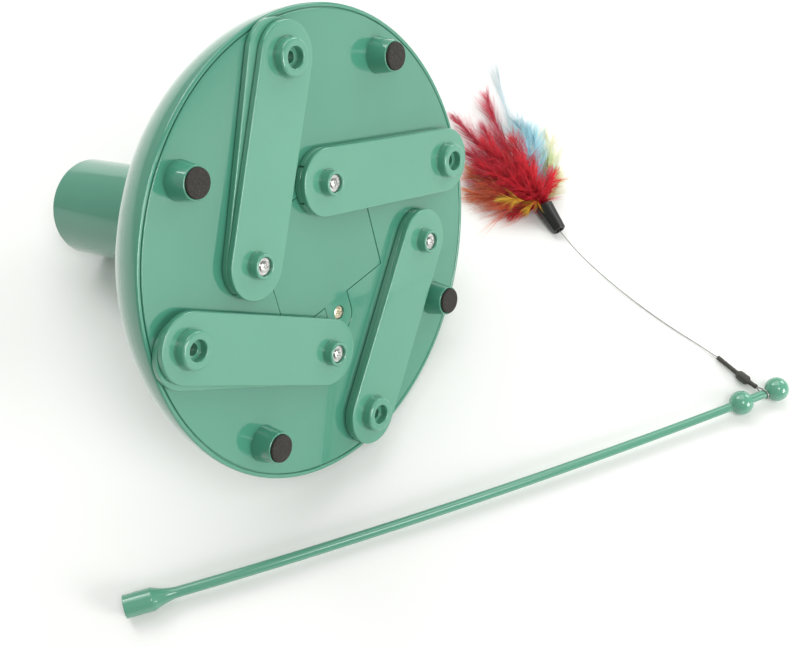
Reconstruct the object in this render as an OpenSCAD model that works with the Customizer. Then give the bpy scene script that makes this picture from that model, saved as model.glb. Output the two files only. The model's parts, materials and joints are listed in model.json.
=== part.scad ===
// Motorized wand toy for cats: a dome base with a tower, folding legs under the plate,
// a moulded wand and a feather lure. The base lies on its side, wand and lure lie beside it.
// Millimetres, +Z up, the floor is z = 0.

/* [Base] */
// Radius of the round base plate
plate_r = 105; // [100:1:110]
// Thickness of the base plate
plate_t = 3; // [2.6:0.2:3.6]
// Wall of the housing rim outside the plate
rim_w = 2.1; // [1.6:0.1:2.6]
// Gap between the plate edge and the rim
rim_gap = 0.4; // [0.3:0.1:0.6]
// Height of the dome over the plate's underside
dome_h = 59.4; // [55:0.2:66]
// Wall of the dome and the tower
wall = 2.6; // [2:0.2:3]
// Outside radius of the tower
tower_r = 24.8; // [24:0.2:28]
// Distance from the plate's underside to the tower's end
tower_top = 164; // [156:1:180]
// Fillet where the tower leaves the dome
blend_r = 5; // [2:0.5:8]
// Rounding of the tower's end
lip_round = 0.8; // [0.4:0.1:1.2]

/* [Feet] */
// Distance of the foot posts from the plate's edge
foot_inset = 12.8; // [12:0.1:14]
// Height of a foot from plate to floor, with its pad
foot_h = 11.4; // [11:0.2:13]
// Radius of a foot post at the plate
foot_base_r = 8.6; // [8:0.1:9]
// Radius of a foot post under the pad
foot_top_r = 7.2; // [7.2:0.1:7.8]
// Radius of a rubber pad
pad_r = 6.3; // [5.6:0.1:6.3]
// Thickness of a rubber pad
pad_t = 2.6; // [2:0.1:3]

/* [Legs] */
// Distance of the leg pivots from the plate's edge
pivot_inset = 13.3; // [12.5:0.1:15]
// How much shorter an arm is than its pivot's distance from the base axis
arm_short = 3.7; // [2.7:0.1:7.7]
// Radius of an arm's round ends
arm_r = 15.5; // [14:0.1:15.8]
// Thickness of an arm
arm_t = 2.6; // [2.4:0.1:3]
// Height of the bosses on an outer arm
boss_h = 4.7; // [4:0.1:5]
// Outside radius of the open foot boss
foot_boss_r = 8.4; // [7.5:0.1:9]
// Radius of the bore in the open foot boss
foot_bore_r = 4.6; // [4.4:0.1:5.4]
// Outside radius of the elbow boss
elbow_boss_r = 5.7; // [5.4:0.1:6.5]
// Swing of each inner arm from the line to the base axis
swing = [19, 45, 31.5, 30];
// Turn of each outer arm on its inner arm
elbow = [0, 0.7, 1.7, 3];

/* [Battery bay] */
// Width of the battery door
door_w = 69; // [67:0.5:72]
// Depth of the battery door without its tab
door_d = 56; // [54:0.5:58]
// Thickness of the battery door
door_t = 2.2; // [2:0.1:2.4]
// Width of the door's screw tab
tab_w = 16; // [14:0.2:18]
// Distance of the door screw from the door's middle
tab_screw = 35.3; // [34:0.1:37]
// Radius of a battery cell
cell_r = 7.1; // [7:0.05:7.25]
// Length of a battery cell with its nub
cell_len = 50.5; // [49.5:0.1:50.5]

/* [Drive] */
// Tooth module of the gears
gear_m = 0.6; // [0.56:0.01:0.62]
// Teeth on a pinion
pinion_z = 9; // [9:1:9]
// Teeth on a wheel
wheel_z = 27; // [27:1:27]
// Thickness of a gear wheel
gear_t = 5; // [4:0.5:5]
// Radius of the motor can
motor_r = 12; // [10:0.5:12.5]
// Length of the motor can
motor_len = 30; // [24:1:34]
// Radius of the rotor head in the tower's end
head_r = 19.6; // [18:0.1:20]
// Radius of the post that takes the wand
post_r = 4.2; // [3.8:0.1:4.4]
// Length of the post that takes the wand
post_len = 14.6; // [12:0.2:16]
// Distance of the post from the rotor's axis
post_throw = 9; // [7:0.5:11]

/* [Button] */
// Radius of the power button
button_r = 7.5; // [6.5:0.1:8]
// Travel of the power button
button_travel = 1.5; // [1:0.1:1.5]

/* [Wand] */
// Length of the wand from its mouth to its inner ball
wand_len = 318.8; // [300:1:330]
// Heading of the wand at its mouth
wand_heading = 16.2;
// Bow of the wand along its length
wand_bow = 5.4; // [1:0.1:8]
// Radius of the balls at the wand's tip
ball_r = 6.15; // [5.8:0.05:6.6]
// Distance between the balls
ball_gap = 20.2; // [18:0.2:24]
// Outside radius of the wand's socket
socket_r = 5.65; // [5.4:0.05:6]
// Depth of the bore in the wand's socket
socket_len = 14; // [13:0.2:16]
// Radius of the rod at its socket and at its tip
rod_r = [2.65, 2.1];

/* [Lure] */
// Radius of the lure wire
wire_r = 0.4; // [0.3:0.05:0.5]
// Radius of the lure's shrink sleeve
sleeve_r = 1.15; // [1:0.05:1.3]
// Radius of the feather cap at the feathers
cap_r = 4; // [3.6:0.1:4.2]
// Length of the feather cap
cap_len = 16.4; // [14:0.2:18]

/* [Hidden] */

$fn = 64;

// Colours
teal = [0.37, 0.71, 0.58];
black = [0.08, 0.08, 0.09];
steel = [0.78, 0.79, 0.80];
brass = [0.80, 0.66, 0.35];
white = [0.92, 0.92, 0.90];
board_green = [0.10, 0.36, 0.22];

// Clearances
run_fit = 0.05;      // a part that turns on a pin
seat_fit = 0.02;     // a pin or screw that stays put
face_gap = 0.3;      // parts that slide over one another
pocket_gap = 0.3;    // a lid in its recess
cut = 1;             // how far a cut runs past a face

// How the base lies: it touches the floor with its dome and with the tower's end
facing = -27.8;
roll = 67.7;
rim_r = plate_r + rim_gap + rim_w;
function floor_gap(t) =
    sqrt(pow(rim_r * cos(t), 2) + pow(dome_h * sin(t), 2))
    - ((tower_r - lip_round) * cos(t) + (tower_top - lip_round) * sin(t) + lip_round);
function rest_tilt(low, high, n) =
    let (mid = (low + high) / 2)
    n == 0 ? mid : floor_gap(mid) > 0 ? rest_tilt(mid, high, n - 1) : rest_tilt(low, mid, n - 1);
tilt = rest_tilt(5, 60, 40);
plate_height = sqrt(pow(rim_r * cos(tilt), 2) + pow(dome_h * sin(tilt), 2));
module laid_down() {
    translate([0, 0, plate_height]) rotate([0, 0, facing]) rotate([0, -(90 + tilt), 0])
        rotate([0, 0, roll]) children();
}

// Wand: a rod on a flat arc, from its mouth to the balls
wand_mouth = [-94.1, -141.7];
bow_radius = wand_len / (wand_bow * PI / 180);
ball_at = [wand_len, wand_len + ball_gap];
function wand_turn(s) = wand_heading + wand_bow * s / wand_len;
function wand_point(s) = [
    wand_mouth.x + bow_radius * (sin(wand_turn(s)) - sin(wand_heading)),
    wand_mouth.y + bow_radius * (cos(wand_heading) - cos(wand_turn(s))),
    socket_r + (ball_r - socket_r) * s / wand_len];
socket_taper = 12.5;
taper_end = socket_len + socket_taper;
rod_len = ball_at[1] - taper_end;
function rod_radius(s) = rod_r[0] + (rod_r[1] - rod_r[0]) * (s - taper_end) / rod_len;
// The straight neck between the balls; the lure's loop hangs on it, against the outer ball
neck = wand_point(ball_at[1]) - wand_point(ball_at[0]);
neck_r = rod_radius(ball_at[1] - ball_gap / 2);
loop_at = norm(neck) - ball_r - wire_r - face_gap;
loop_eye = wand_point(ball_at[0]) + loop_at * neck / norm(neck);
loop_r = neck_r + run_fit + wire_r;

// Lure: the sleeve runs from the loop to the floor, the wire on to the feather cap
sleeve_start = [216.6, -29.4, 4.9];
sleeve_bulge = [210.6, -23.5, 3.4];
sleeve_end = [199.4, -11.3, 1.8];
wire_route = [
    [199.4, -11.3, 1.8], [195, -7.6, 1.4], [189, -2.8, 1.1], [183, 1.8, 0.9], [176, 7.2, 0.8],
    [169.5, 12.5, 0.8], [163, 18.1, 0.9], [157, 23.4, 1.1], [151.5, 28.5, 1.3], [146, 33.8, 1.6],
    [141, 38.8, 2], [136.5, 43.5, 2.4], [132.5, 48, 2.8], [128.5, 52.9, 3.2], [125, 57.6, 3.6],
    [121.4, 62.8, 4]];
cap_start = wire_route[len(wire_route) - 1];
cap_heading = 118.7;
// Spines of the feathers, from the cap's mouth to the tip, with their half widths and half heights
red_spine = [[113, 78, 5], [106, 88, 8], [97, 100, 10], [87, 111, 9], [78, 121, 7], [72, 128, 6]];
crimson_spine = [[111, 77.6, 4], [101, 84, 6], [90, 92, 7], [80, 101, 7], [73, 114, 6], [66, 137, 4]];
blue_spine = [[113, 79, 5], [107, 95, 6], [102, 112, 7], [96, 131, 7], [91, 150, 6], [87, 171.5, 5]];
green_spine = [[115, 79, 5], [117, 88, 5], [117.5, 97, 6], [116, 108, 6], [113, 119, 5], [109, 131, 4]];
orange_spine = [[110.5, 76.5, 3.6], [103, 78, 4], [94, 80, 5], [86, 82, 5], [78, 83.5, 4], [70, 84, 3.4]];

// The row's origin is under the middle of the object's box
tower_dir_x = -cos(tilt) * cos(facing);
box_x = [tower_top * tower_dir_x - tower_r * sqrt(1 - tower_dir_x * tower_dir_x),
         wand_point(ball_at[1]).x + ball_r];
box_y = [wand_mouth.y - socket_r * cos(wand_heading), blue_spine[len(blue_spine) - 1].y];
module in_row() {
    translate([-(box_x[0] + box_x[1]) / 2, -(box_y[0] + box_y[1]) / 2, 0]) children();
}
module in_base() {
    in_row() laid_down() children();
}

// Dome and tower levels, from the plate's underside up
inner_r = plate_r + rim_gap;
inner_h = dome_h - wall;
bore_r = tower_r - wall;
head_gap = 0.6;
head_t = 4.8;
recess_r = head_r + head_gap;
recess_z = tower_top - head_t - 2 * head_gap;
end_wall = 4;
end_wall_z = recess_z - end_wall;
bush_r = 5;
arc_steps = 28;

// Gear train levels: four meshes between the motor and the rotor, on two axes
mesh_spread = 0.08;
axis_gap = gear_m * (pinion_z + wheel_z) / 2 + mesh_spread;
plate_wall = 3;
cover_z = end_wall_z - plate_wall;
layer = gear_t + 1;
train_z = cover_z - 1 - 4 * layer - 4;
frame_z = train_z - 1 - plate_wall;
motor_top = frame_z - face_gap;
motor_low = motor_top - motor_len;
nose = [3, 1.7];
tail = [4, 2];
rotor_depth = 7.5;
shaft_r = 2.5;
stub_r = 1.5;
axle_r = 1.5;
axle_web = 1;
motor_shaft_r = 1;
strut_ring_r = tower_r - wall - 4.7;
strut_r = 3;
strut_angles = [90, 180, 270];
motor_screw_ring_r = 8.5;

// Feet and legs: rings about the base axis, and levels down from the plate's underside
foot_ring_r = plate_r - foot_inset;
pad_seat = 1.2;
pad_fit = 0.1;
pad_bevel = 0.6;
foot_post_z = pad_t - pad_seat - foot_h;
screw_seat_z = -1.2;
pivot_ring_r = plate_r - pivot_inset;
arm_len = pivot_ring_r - arm_short;
inner_face = -face_gap;
inner_arm_z = inner_face - arm_t;
outer_face = inner_arm_z - face_gap;
outer_arm_z = outer_face - arm_t;
boss_z = outer_arm_z - boss_h;
arm_chamfer = 0.7;
pin_r = 3.5;
pin_head_r = 6.2;
pin_head_t = 1.1;
elbow_post_r = 3.4;
elbow_post_z = outer_arm_z - 2.8;
elbow_recess_r = 4.1;
elbow_hole = 5.5;
washer_r = 3.8;
washer_t = 0.7;
boss_bevel = 0.5;
notch_angle = 32;
notch_w = 1;
notch_d = 1.2;
foot_web = 1;
foot_step_r = 2.6;

// Battery bay levels
door_face = 0.15;
door_seat_z = door_face + door_t + 0.1;
cell_pitch = 2 * cell_r + 0.9;
bay_len = cell_len + 9.5;
bay_w = 3 * cell_pitch + 1.6;
bay_wall = 1.6;
cell_z = door_face + door_t + 2 * pocket_gap + cell_r;
bay_top = cell_z + cell_r + 0.5;
frame_pad = 1.6;
frame_lap = 3;
contact_t = 0.5;
contact_w = 10;
contact_gap = 0.1;
tip_gap = 0.6;
cell_tip = bay_len / 2 - contact_t - tip_gap;
nub_r = 2.7;
nub_len = 1;
spring_len = bay_len - 2 * (contact_t + contact_gap) - tip_gap - cell_len;
spring_wire_r = 0.35;
lead_r = 0.6;

// Button frame: on the dome, turned to the dome's normal
button_angle = 25;
button_arc = 40;
button_normal = atan2(sin(button_arc) / dome_h, cos(button_arc) / rim_r);
button_proud = 1.8;
button_gap = 0.35;
flange_z = -wall - 1.9;
board_z = -13;
board_t = 1.6;
board_size = [22, 34];
board_post_x = 12.5;
switch_w = 8;
switch_h = 3.6;
plunger_r = 1.75;
plunger_z = board_z + 0.4 + button_travel;
plunger_top = board_z + switch_h + button_travel + 0.3;
stem_r = 2.4;
button_bevel = [0.8, 0.5];
flange_w = 1.4;
flange_t = 1;
// Where a lead meets the board's underside, at a distance along the board's inner edge
pad_x = -8;
function board_pad(y) =
    let (lean = 90 - button_normal, z = board_z - board_t - lead_r - seat_fit,
         r = rim_r * cos(button_arc) + pad_x * cos(lean) + z * sin(lean))
    [r * cos(button_angle) - y * sin(button_angle), r * sin(button_angle) + y * cos(button_angle),
     dome_h * sin(button_arc) - pad_x * sin(lean) + z * cos(lean)];
module at_button() {
    rotate([0, 0, button_angle])
        translate([rim_r * cos(button_arc), 0, dome_h * sin(button_arc)])
            rotate([0, 90 - button_normal, 0]) children();
}

// Fasteners: head radius, head height and shank radius
housing_screw = [3, 2, 1.5];
door_screw = [3.05, 1.3, 1.3];
elbow_bolt = [2.5, 1.1, 1.3];
board_screw = [2.2, 1.2, 1.1];
motor_screw = [2.2, 1.2, 1.2];
gearbox_screw = [2.6, 1.6, 1.3];
head_screw = [2.2, 1.1, 1.2];
head_clear = 0.3;    // round a head in its counterbore
under_head = 0.05;   // between a head and its seat
join = 0.01;         // how far stacked shapes run into one another

// Shared shapes
module cross_recess(r, depth) {
    for (a = [0, 90]) rotate([0, 0, a])
        translate([-0.7 * r, -0.14 * r, -cut]) cube([1.4 * r, 0.28 * r, cut + depth]);
}
// A screw whose head sits below z = 0 and whose shank runs up
module screw(size, length) {
    r = size[0];
    h = size[1];
    difference() {
        union() {
            cylinder(r1 = r - 0.3 * h, r2 = r, h = 0.4 * h);
            translate([0, 0, 0.4 * h]) cylinder(r = r, h = 0.6 * h);
            translate([0, 0, h - join]) cylinder(r = size[2], h = length);
        }
        cross_recess(r, 0.55 * h);
    }
}
module at_feet() {
    for (k = [0 : 3]) rotate([0, 0, 90 * k]) translate([foot_ring_r, 0, 0]) children();
}
module at_pivot(k) {
    rotate([0, 0, 45 + 90 * (k - 1)]) translate([pivot_ring_r, 0, 0])
        rotate([0, 0, 180 + swing[k - 1]]) children();
}
module at_elbow(k) {
    at_pivot(k) translate([arm_len, 0, 0]) rotate([0, 0, 180 + elbow[k - 1]]) children();
}
// A tube along points, with a radius and a height share for each ring
module sweep(path, radii, sides, flat = 1, ref = [0, 0, 1]) {
    n = len(path);
    function along(i) = let (d = path[min(i + 1, n - 1)] - path[max(i - 1, 0)]) d / norm(d);
    function side(i) = let (s = cross(along(i), ref)) s / norm(s);
    ring = [for (i = [0 : n - 1]) for (j = [0 : sides - 1])
        path[i] + radii[i] * (cos(360 * j / sides) * side(i)
                              + flat * sin(360 * j / sides) * cross(side(i), along(i)))];
    walls = [for (i = [0 : n - 2]) for (j = [0 : sides - 1])
        let (a = i * sides + j, b = i * sides + (j + 1) % sides)
        each [[a, b, a + sides], [b, b + sides, a + sides]]];
    start_cap = [for (j = [1 : sides - 2]) [0, j + 1, j]];
    end_cap = [for (j = [1 : sides - 2]) [(n - 1) * sides, (n - 1) * sides + j, (n - 1) * sides + j + 1]];
    polyhedron(points = ring, faces = concat(walls, start_cap, end_cap));
}
// A smooth curve through hand-set points
function curve(points, steps) =
    let (n = len(points))
    concat([for (i = [0 : n - 2]) for (s = [0 : steps - 1])
        let (u = s / steps, a = points[max(i - 1, 0)], b = points[i], c = points[i + 1],
             d = points[min(i + 2, n - 1)])
        0.5 * (2 * b + u * (c - a) + u * u * (2 * a - 5 * b + 4 * c - d)
               + u * u * u * (3 * b - a - 3 * c + d))], [points[n - 1]]);
module tube(points, r, steps, ref = [0, 0, 1]) {
    path = curve(points, steps);
    sweep(path, [for (p = path) r], 8, 1, ref);
}
// A feather as a flat leaf that swells from its root and runs out to its tip
module plume(spine, half_w, half_h) {
    path = curve(spine, 3);
    last = len(path) - 1;
    sweep(path, [for (i = [0 : last]) 0.7 + half_w * pow(sin(180 * pow(i / last, 0.75)), 0.8)],
          10, half_h / half_w);
}
// A toothed disc; the teeth are thinned for backlash
module gear(z, t, tip, phase) {
    pitch_r = gear_m * z / 2;
    root_w = z == pinion_z ? 0.9 : 1.15;
    pitch_w = z == pinion_z ? 0.74 : 0.76;
    tip_w = z == pinion_z ? 0.34 : 0.38;
    flank = [[pitch_r - 0.75, root_w], [pitch_r, pitch_w], [pitch_r + tip, tip_w]];
    linear_extrude(t) polygon([for (i = [0 : z - 1]) let (mid = phase + 360 * i / z)
        each concat(
            [for (f = flank) f[0] * [cos(mid - f[1] / f[0] * 90 / PI), sin(mid - f[1] / f[0] * 90 / PI)]],
            [for (k = [2 : -1 : 0]) let (f = flank[k])
                f[0] * [cos(mid + f[1] / f[0] * 90 / PI), sin(mid + f[1] / f[0] * 90 / PI)]])]);
}
module pinion(t, phase) { gear(pinion_z, t, 0.55, phase); }
module wheel(t, phase) { gear(wheel_z, t, 0.48, phase); }
// A pinion on the tower's axis points a tooth at the idler axle, one on the axle a gap at the tower
gap_phase = 180 / wheel_z;
// A wheel with a pinion on top, bored for its axle
module compound_gear(z, wheel_turn, bore) {
    difference() {
        union() {
            translate([0, 0, z]) wheel(gear_t, wheel_turn);
            translate([0, 0, z + gear_t]) pinion(layer, 0);
        }
        translate([0, 0, z - cut]) cylinder(r = bore, h = gear_t + layer + 2 * cut);
    }
}

// Housing: dome and tower in one shell
dome_end = acos((tower_r + blend_r) / rim_r);
fillet_z = dome_h * sin(dome_end) + blend_r;
outer_line = concat(
    [for (i = [0 : arc_steps]) let (a = dome_end * i / arc_steps) [rim_r * cos(a), dome_h * sin(a)]],
    [for (i = [1 : 6]) let (a = -90 - 15 * i)
        [tower_r + blend_r + blend_r * cos(a), fillet_z + blend_r * sin(a)]],
    [for (i = [0 : 4]) let (a = 22.5 * i)
        [tower_r - lip_round + lip_round * cos(a), tower_top - lip_round + lip_round * sin(a)]]);
inner_end = acos(bore_r / inner_r);
inner_line = concat(
    [[recess_r, tower_top], [recess_r, recess_z], [bush_r, recess_z], [bush_r, end_wall_z],
     [bore_r, end_wall_z]],
    [for (i = [arc_steps : -1 : 0]) let (a = inner_end * i / arc_steps)
        [inner_r * cos(a), inner_h * sin(a)]]);
column_r = 4.5;
column_hole = 10;
board_post_r = 3;
board_hole = 6;
strut_hole = 3.2;
module dome_solid() {
    rotate_extrude($fn = 128) polygon(concat(outer_line, [[0, tower_top], [0, 0]]));
}
module dome_housing() color(teal) in_base() difference() {
    union() {
        rotate_extrude($fn = 128) polygon(concat(outer_line, inner_line));
        intersection() {
            dome_solid();
            union() {
                at_feet() translate([0, 0, plate_t]) cylinder(r = column_r, h = dome_h);
                at_button() for (s = [-1, 1])
                    translate([0, s * board_post_x, board_z])
                        cylinder(r = board_post_r, h = -board_z - wall / 2);
            }
        }
    }
    at_feet() translate([0, 0, plate_t - cut])
        cylinder(r = housing_screw[2] + seat_fit, h = column_hole + cut);
    at_button() translate([0, 0, -2 * wall]) cylinder(r = button_r + button_gap, h = 4 * wall);
    at_button() for (s = [-1, 1]) translate([0, s * board_post_x, board_z - cut])
        cylinder(r = board_screw[2] + seat_fit, h = board_hole + cut);
    for (a = strut_angles) rotate([0, 0, a]) translate([strut_ring_r, 0, end_wall_z - cut])
        cylinder(r = gearbox_screw[2] + seat_fit, h = strut_hole + cut);
}

// Base plate with foot posts, pivot sockets and the battery bay
tab_reach = 9.8;
module door_outline(grow) {
    half = tab_w / 2 + grow;
    round_y = tab_screw + tab_reach - tab_w / 2;
    square([door_w + 2 * grow, door_d + 2 * grow], center = true);
    translate([-half, 0]) square([2 * half, round_y]);
    translate([0, round_y]) circle(r = half);
}
pin_boss_r = pin_r + 3;
pin_boss_z = plate_t + 5;
pin_end_z = plate_t + 4;
door_boss_r = 4;
door_boss_h = 7;
sink = 0.5;
module base_plate() color(teal) in_base() difference() {
    union() {
        cylinder(r = plate_r, h = plate_t, $fn = 128);
        at_feet() translate([0, 0, foot_post_z])
            cylinder(r1 = foot_top_r, r2 = foot_base_r, h = sink - foot_post_z);
        for (k = [1 : 4]) at_pivot(k) cylinder(r = pin_boss_r, h = pin_boss_z);
        rotate([0, 0, 45]) {
            translate([-door_w / 2 - frame_lap, -door_d / 2 - frame_lap, plate_t - sink])
                cube([door_w + 2 * frame_lap, door_d + 2 * frame_lap, frame_pad + sink]);
            translate([-bay_len / 2 - bay_wall, -bay_w / 2 - bay_wall, plate_t])
                cube([bay_len + 2 * bay_wall, bay_w + 2 * bay_wall, bay_top + bay_wall - plate_t]);
            translate([0, tab_screw, plate_t - sink]) cylinder(r = door_boss_r, h = door_boss_h);
        }
    }
    rotate([0, 0, 45]) {
        translate([0, 0, -cut]) linear_extrude(cut + door_seat_z) door_outline(pocket_gap);
        translate([-bay_len / 2, -bay_w / 2, -cut]) cube([bay_len, bay_w, cut + bay_top]);
        translate([0, tab_screw, -cut])
            cylinder(r = door_screw[2] + seat_fit, h = cut + plate_t + door_boss_h - 3 * sink);
    }
    at_feet() translate([0, 0, -foot_h]) {
        translate([0, 0, -cut]) cylinder(r = pad_r + pad_fit, h = cut + pad_t);
        cylinder(r = housing_screw[0] + head_clear, h = foot_h + screw_seat_z);
        cylinder(r = housing_screw[2] + head_clear, h = foot_h + plate_t + cut);
    }
    for (k = [1 : 4]) at_pivot(k) translate([0, 0, -cut])
        cylinder(r = pin_r + seat_fit, h = pin_end_z + cut);
}
module foot_pads() color(black) in_base() at_feet() translate([0, 0, -foot_h]) {
    cylinder(r1 = pad_r - pad_bevel, r2 = pad_r, h = pad_bevel);
    translate([0, 0, pad_bevel]) cylinder(r = pad_r, h = pad_t - pad_bevel - under_head);
}
module housing_screws() color(steel) in_base() at_feet()
    translate([0, 0, screw_seat_z - under_head - housing_screw[1]])
        screw(housing_screw, plate_t + column_hole - 0.75);

// Battery door, cells and their contacts
module battery_door() color(teal) in_base() rotate([0, 0, 45]) difference() {
    translate([0, 0, door_face]) linear_extrude(door_t) door_outline(0);
    translate([0, tab_screw, door_face - cut])
        cylinder(r = door_screw[0] + head_clear, h = cut + door_screw[1] + 2 * under_head);
    translate([0, tab_screw, -cut]) cylinder(r = door_screw[2] + head_clear, h = door_t + 2 * cut);
}
module battery_door_screw() color(steel) in_base() rotate([0, 0, 45])
    translate([0, tab_screw, door_face + under_head]) screw(door_screw, plate_t + 3);
// A row of cells; every other one is turned end for end
module each_cell() {
    rotate([0, 0, 45]) for (i = [-1 : 1])
        translate([0, i * cell_pitch, cell_z]) rotate([0, 0, i == 0 ? 180 : 0]) children();
}
module batteries() color(black) in_base() each_cell()
    translate([cell_tip, 0, 0]) rotate([0, -90, 0]) {
        cylinder(r = nub_r, h = nub_len + contact_gap);
        translate([0, 0, nub_len]) cylinder(r = cell_r, h = cell_len - nub_len);
    }
module battery_contacts() color(steel) in_base() each_cell() for (s = [-1, 1])
    translate([s * (bay_len / 2 - contact_t / 2 - contact_gap), 0, 0])
        cube([contact_t, contact_w, contact_w], center = true);
module battery_springs() color(steel) in_base() each_cell() {
    turns = 4;
    steps = 12 * turns;
    radii = [4.4, 2.4];
    start = -bay_len / 2 + contact_gap + contact_t + 0.5;
    path = [for (i = [0 : steps])
        let (a = 360 * turns * i / steps, r = radii[0] + (radii[1] - radii[0]) * i / steps)
        [start + (spring_len - 1) * i / steps, r * cos(a), r * sin(a)]];
    sweep(path, [for (p = path) spring_wire_r], 6, 1, [1, 0, 0]);
}
// The leads run from the bay's roof to the board
module battery_leads() color([0.7, 0.1, 0.1]) in_base() for (s = [-1, 1]) {
    roof = bay_top + bay_wall;
    route = [[22, 9, lead_r + seat_fit], [32, 13, 2], [42, 17, 4], [52, 22, 7]];
    tube(concat([for (p = route) p + [-0.6 * s, 1.4 * s, roof]], [board_pad(2 * s)]), lead_r, 5);
}

// Power button, switch and board
module circuit_board() color(board_green) in_base() at_button() difference() {
    translate([-board_size.x / 2, -board_size.y / 2, board_z - board_t])
        cube([board_size.x, board_size.y, board_t - under_head]);
    for (s = [-1, 1]) translate([0, s * board_post_x, board_z - board_t - cut])
        cylinder(r = board_screw[2] + 0.2, h = board_t + 2 * cut);
}
module board_screws() color(steel) in_base() at_button() for (s = [-1, 1])
    translate([0, s * board_post_x, board_z - board_t - under_head - board_screw[1]])
        screw(board_screw, board_t + board_hole - 1.5);
module power_switch() color(black) in_base() at_button() difference() {
    translate([-switch_w / 2, -switch_w / 2, board_z]) cube([switch_w, switch_w, switch_h]);
    translate([0, 0, board_z + 0.3]) cylinder(r = plunger_r + run_fit, h = switch_h);
}
module switch_plunger() color(white) in_base() at_button()
    translate([0, 0, plunger_z]) cylinder(r = plunger_r, h = plunger_top - plunger_z);
module power_button() color(teal) in_base() at_button() {
    edge_z = button_proud - button_bevel[1];
    translate([0, 0, flange_z - join]) cylinder(r = button_r, h = edge_z - flange_z + join);
    translate([0, 0, edge_z - join])
        cylinder(r1 = button_r, r2 = button_r - button_bevel[0], h = button_bevel[1]);
    translate([0, 0, flange_z - flange_t]) cylinder(r = button_r + flange_w, h = flange_t);
    translate([0, 0, plunger_top + seat_fit]) cylinder(r = stem_r, h = flange_z - plunger_top);
}

// Motor and gear train, on the tower's axis and on the idler axle beside it
module motor() color(steel) in_base() difference() {
    union() {
        translate([0, 0, motor_low]) cylinder(r = motor_r, h = motor_len);
        translate([0, 0, motor_low - tail[1]]) cylinder(r = tail[0], h = tail[1] + join);
        translate([0, 0, motor_top - join]) cylinder(r = nose[0], h = nose[1] + join);
    }
    translate([0, 0, motor_top - rotor_depth - sink])
        cylinder(r = motor_shaft_r + run_fit, h = rotor_depth + nose[1] + cut);
    for (s = [-1, 1]) translate([0, s * motor_screw_ring_r, motor_top - plate_wall])
        cylinder(r = motor_screw[2] + seat_fit, h = plate_wall + cut);
}
module motor_screws() color(steel) in_base() for (s = [-1, 1])
    translate([0, s * motor_screw_ring_r, frame_z + plate_wall - 0.2]) mirror([0, 0, 1])
        screw(motor_screw, plate_wall + 1.2);
// The leads run down the tower from the motor's tail, and under the dome to the board
module motor_leads() color([0.1, 0.1, 0.5]) in_base() for (s = [-1, 1]) {
    tube([[8, 5 * s, motor_low - lead_r - seat_fit], [10, 5 * s, motor_low - 8], [15, 5 * s, 66],
          [18, 5 * s, 52], [28, 6 + 4 * s, 42], [44, 15 + 4 * s, 34], board_pad(6 * s)],
         lead_r, 5, [0, 1, 0]);
}
module motor_shaft() color(steel) in_base() translate([0, 0, motor_top - rotor_depth])
    cylinder(r = motor_shaft_r, h = train_z + gear_t - 0.2 - motor_top + rotor_depth);
module motor_pinion() color(white) in_base() difference() {
    translate([0, 0, train_z]) pinion(gear_t, 0);
    translate([0, 0, train_z - cut]) cylinder(r = motor_shaft_r + seat_fit, h = gear_t + 2 * cut);
}
module gearbox_frame() color(white) in_base() difference() {
    union() {
        translate([0, 0, frame_z]) cylinder(r = bore_r - face_gap, h = plate_wall);
        for (a = strut_angles) rotate([0, 0, a])
            translate([strut_ring_r, 0, frame_z]) cylinder(r = strut_r, h = cover_z - frame_z);
        translate([axis_gap, 0, frame_z]) cylinder(r = 2 * axle_r, h = plate_wall + 0.6);
    }
    translate([0, 0, frame_z - cut]) cylinder(r = nose[0] + head_clear, h = plate_wall + 2 * cut);
    for (a = strut_angles) rotate([0, 0, a]) translate([strut_ring_r, 0, frame_z - cut])
        cylinder(r = gearbox_screw[2] + seat_fit, h = cover_z - frame_z + 2 * cut);
    for (s = [-1, 1]) translate([0, s * motor_screw_ring_r, 0]) {
        translate([0, 0, frame_z - cut]) cylinder(r = motor_screw[2] + 0.1, h = plate_wall + 2 * cut);
        translate([0, 0, frame_z + plate_wall - motor_screw[1] - 0.2 - under_head])
            cylinder(r = motor_screw[0] + head_clear, h = motor_screw[1] + 0.2 + under_head + cut);
    }
    translate([axis_gap, 0, frame_z + axle_web]) cylinder(r = axle_r + seat_fit, h = plate_wall + cut);
}
module gearbox_cover() color(white) in_base() difference() {
    translate([0, 0, cover_z]) cylinder(r = bore_r - face_gap, h = plate_wall - under_head);
    translate([0, 0, cover_z - cut]) cylinder(r = shaft_r + run_fit, h = plate_wall + 2 * cut);
    translate([axis_gap, 0, cover_z - cut])
        cylinder(r = axle_r + seat_fit, h = plate_wall + cut - axle_web);
    for (a = strut_angles) rotate([0, 0, a]) translate([strut_ring_r, 0, cover_z - cut])
        cylinder(r = gearbox_screw[2] + seat_fit, h = plate_wall + 2 * cut);
}
module gearbox_screws() color(steel) in_base() for (a = strut_angles) rotate([0, 0, a])
    translate([strut_ring_r, 0, frame_z - under_head - gearbox_screw[1]])
        screw(gearbox_screw, end_wall_z + strut_hole - 0.2 - frame_z);
module idler_axle() color(steel) in_base() translate([axis_gap, 0, frame_z + axle_web + 0.1])
    cylinder(r = axle_r, h = cover_z + plate_wall - frame_z - 2 * axle_web - 0.3);
module first_gear() color(white) in_base() translate([axis_gap, 0, 0])
    compound_gear(train_z, 180 + gap_phase, axle_r + run_fit);
module second_gear() color(white) in_base()
    compound_gear(train_z + layer, 0, stub_r + run_fit);
module third_gear() color(white) in_base() translate([axis_gap, 0, 0])
    compound_gear(train_z + 2 * layer, 180 + gap_phase, axle_r + run_fit);
output_z = train_z + 3 * layer;
hub = [4.5, 2.5];
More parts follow.
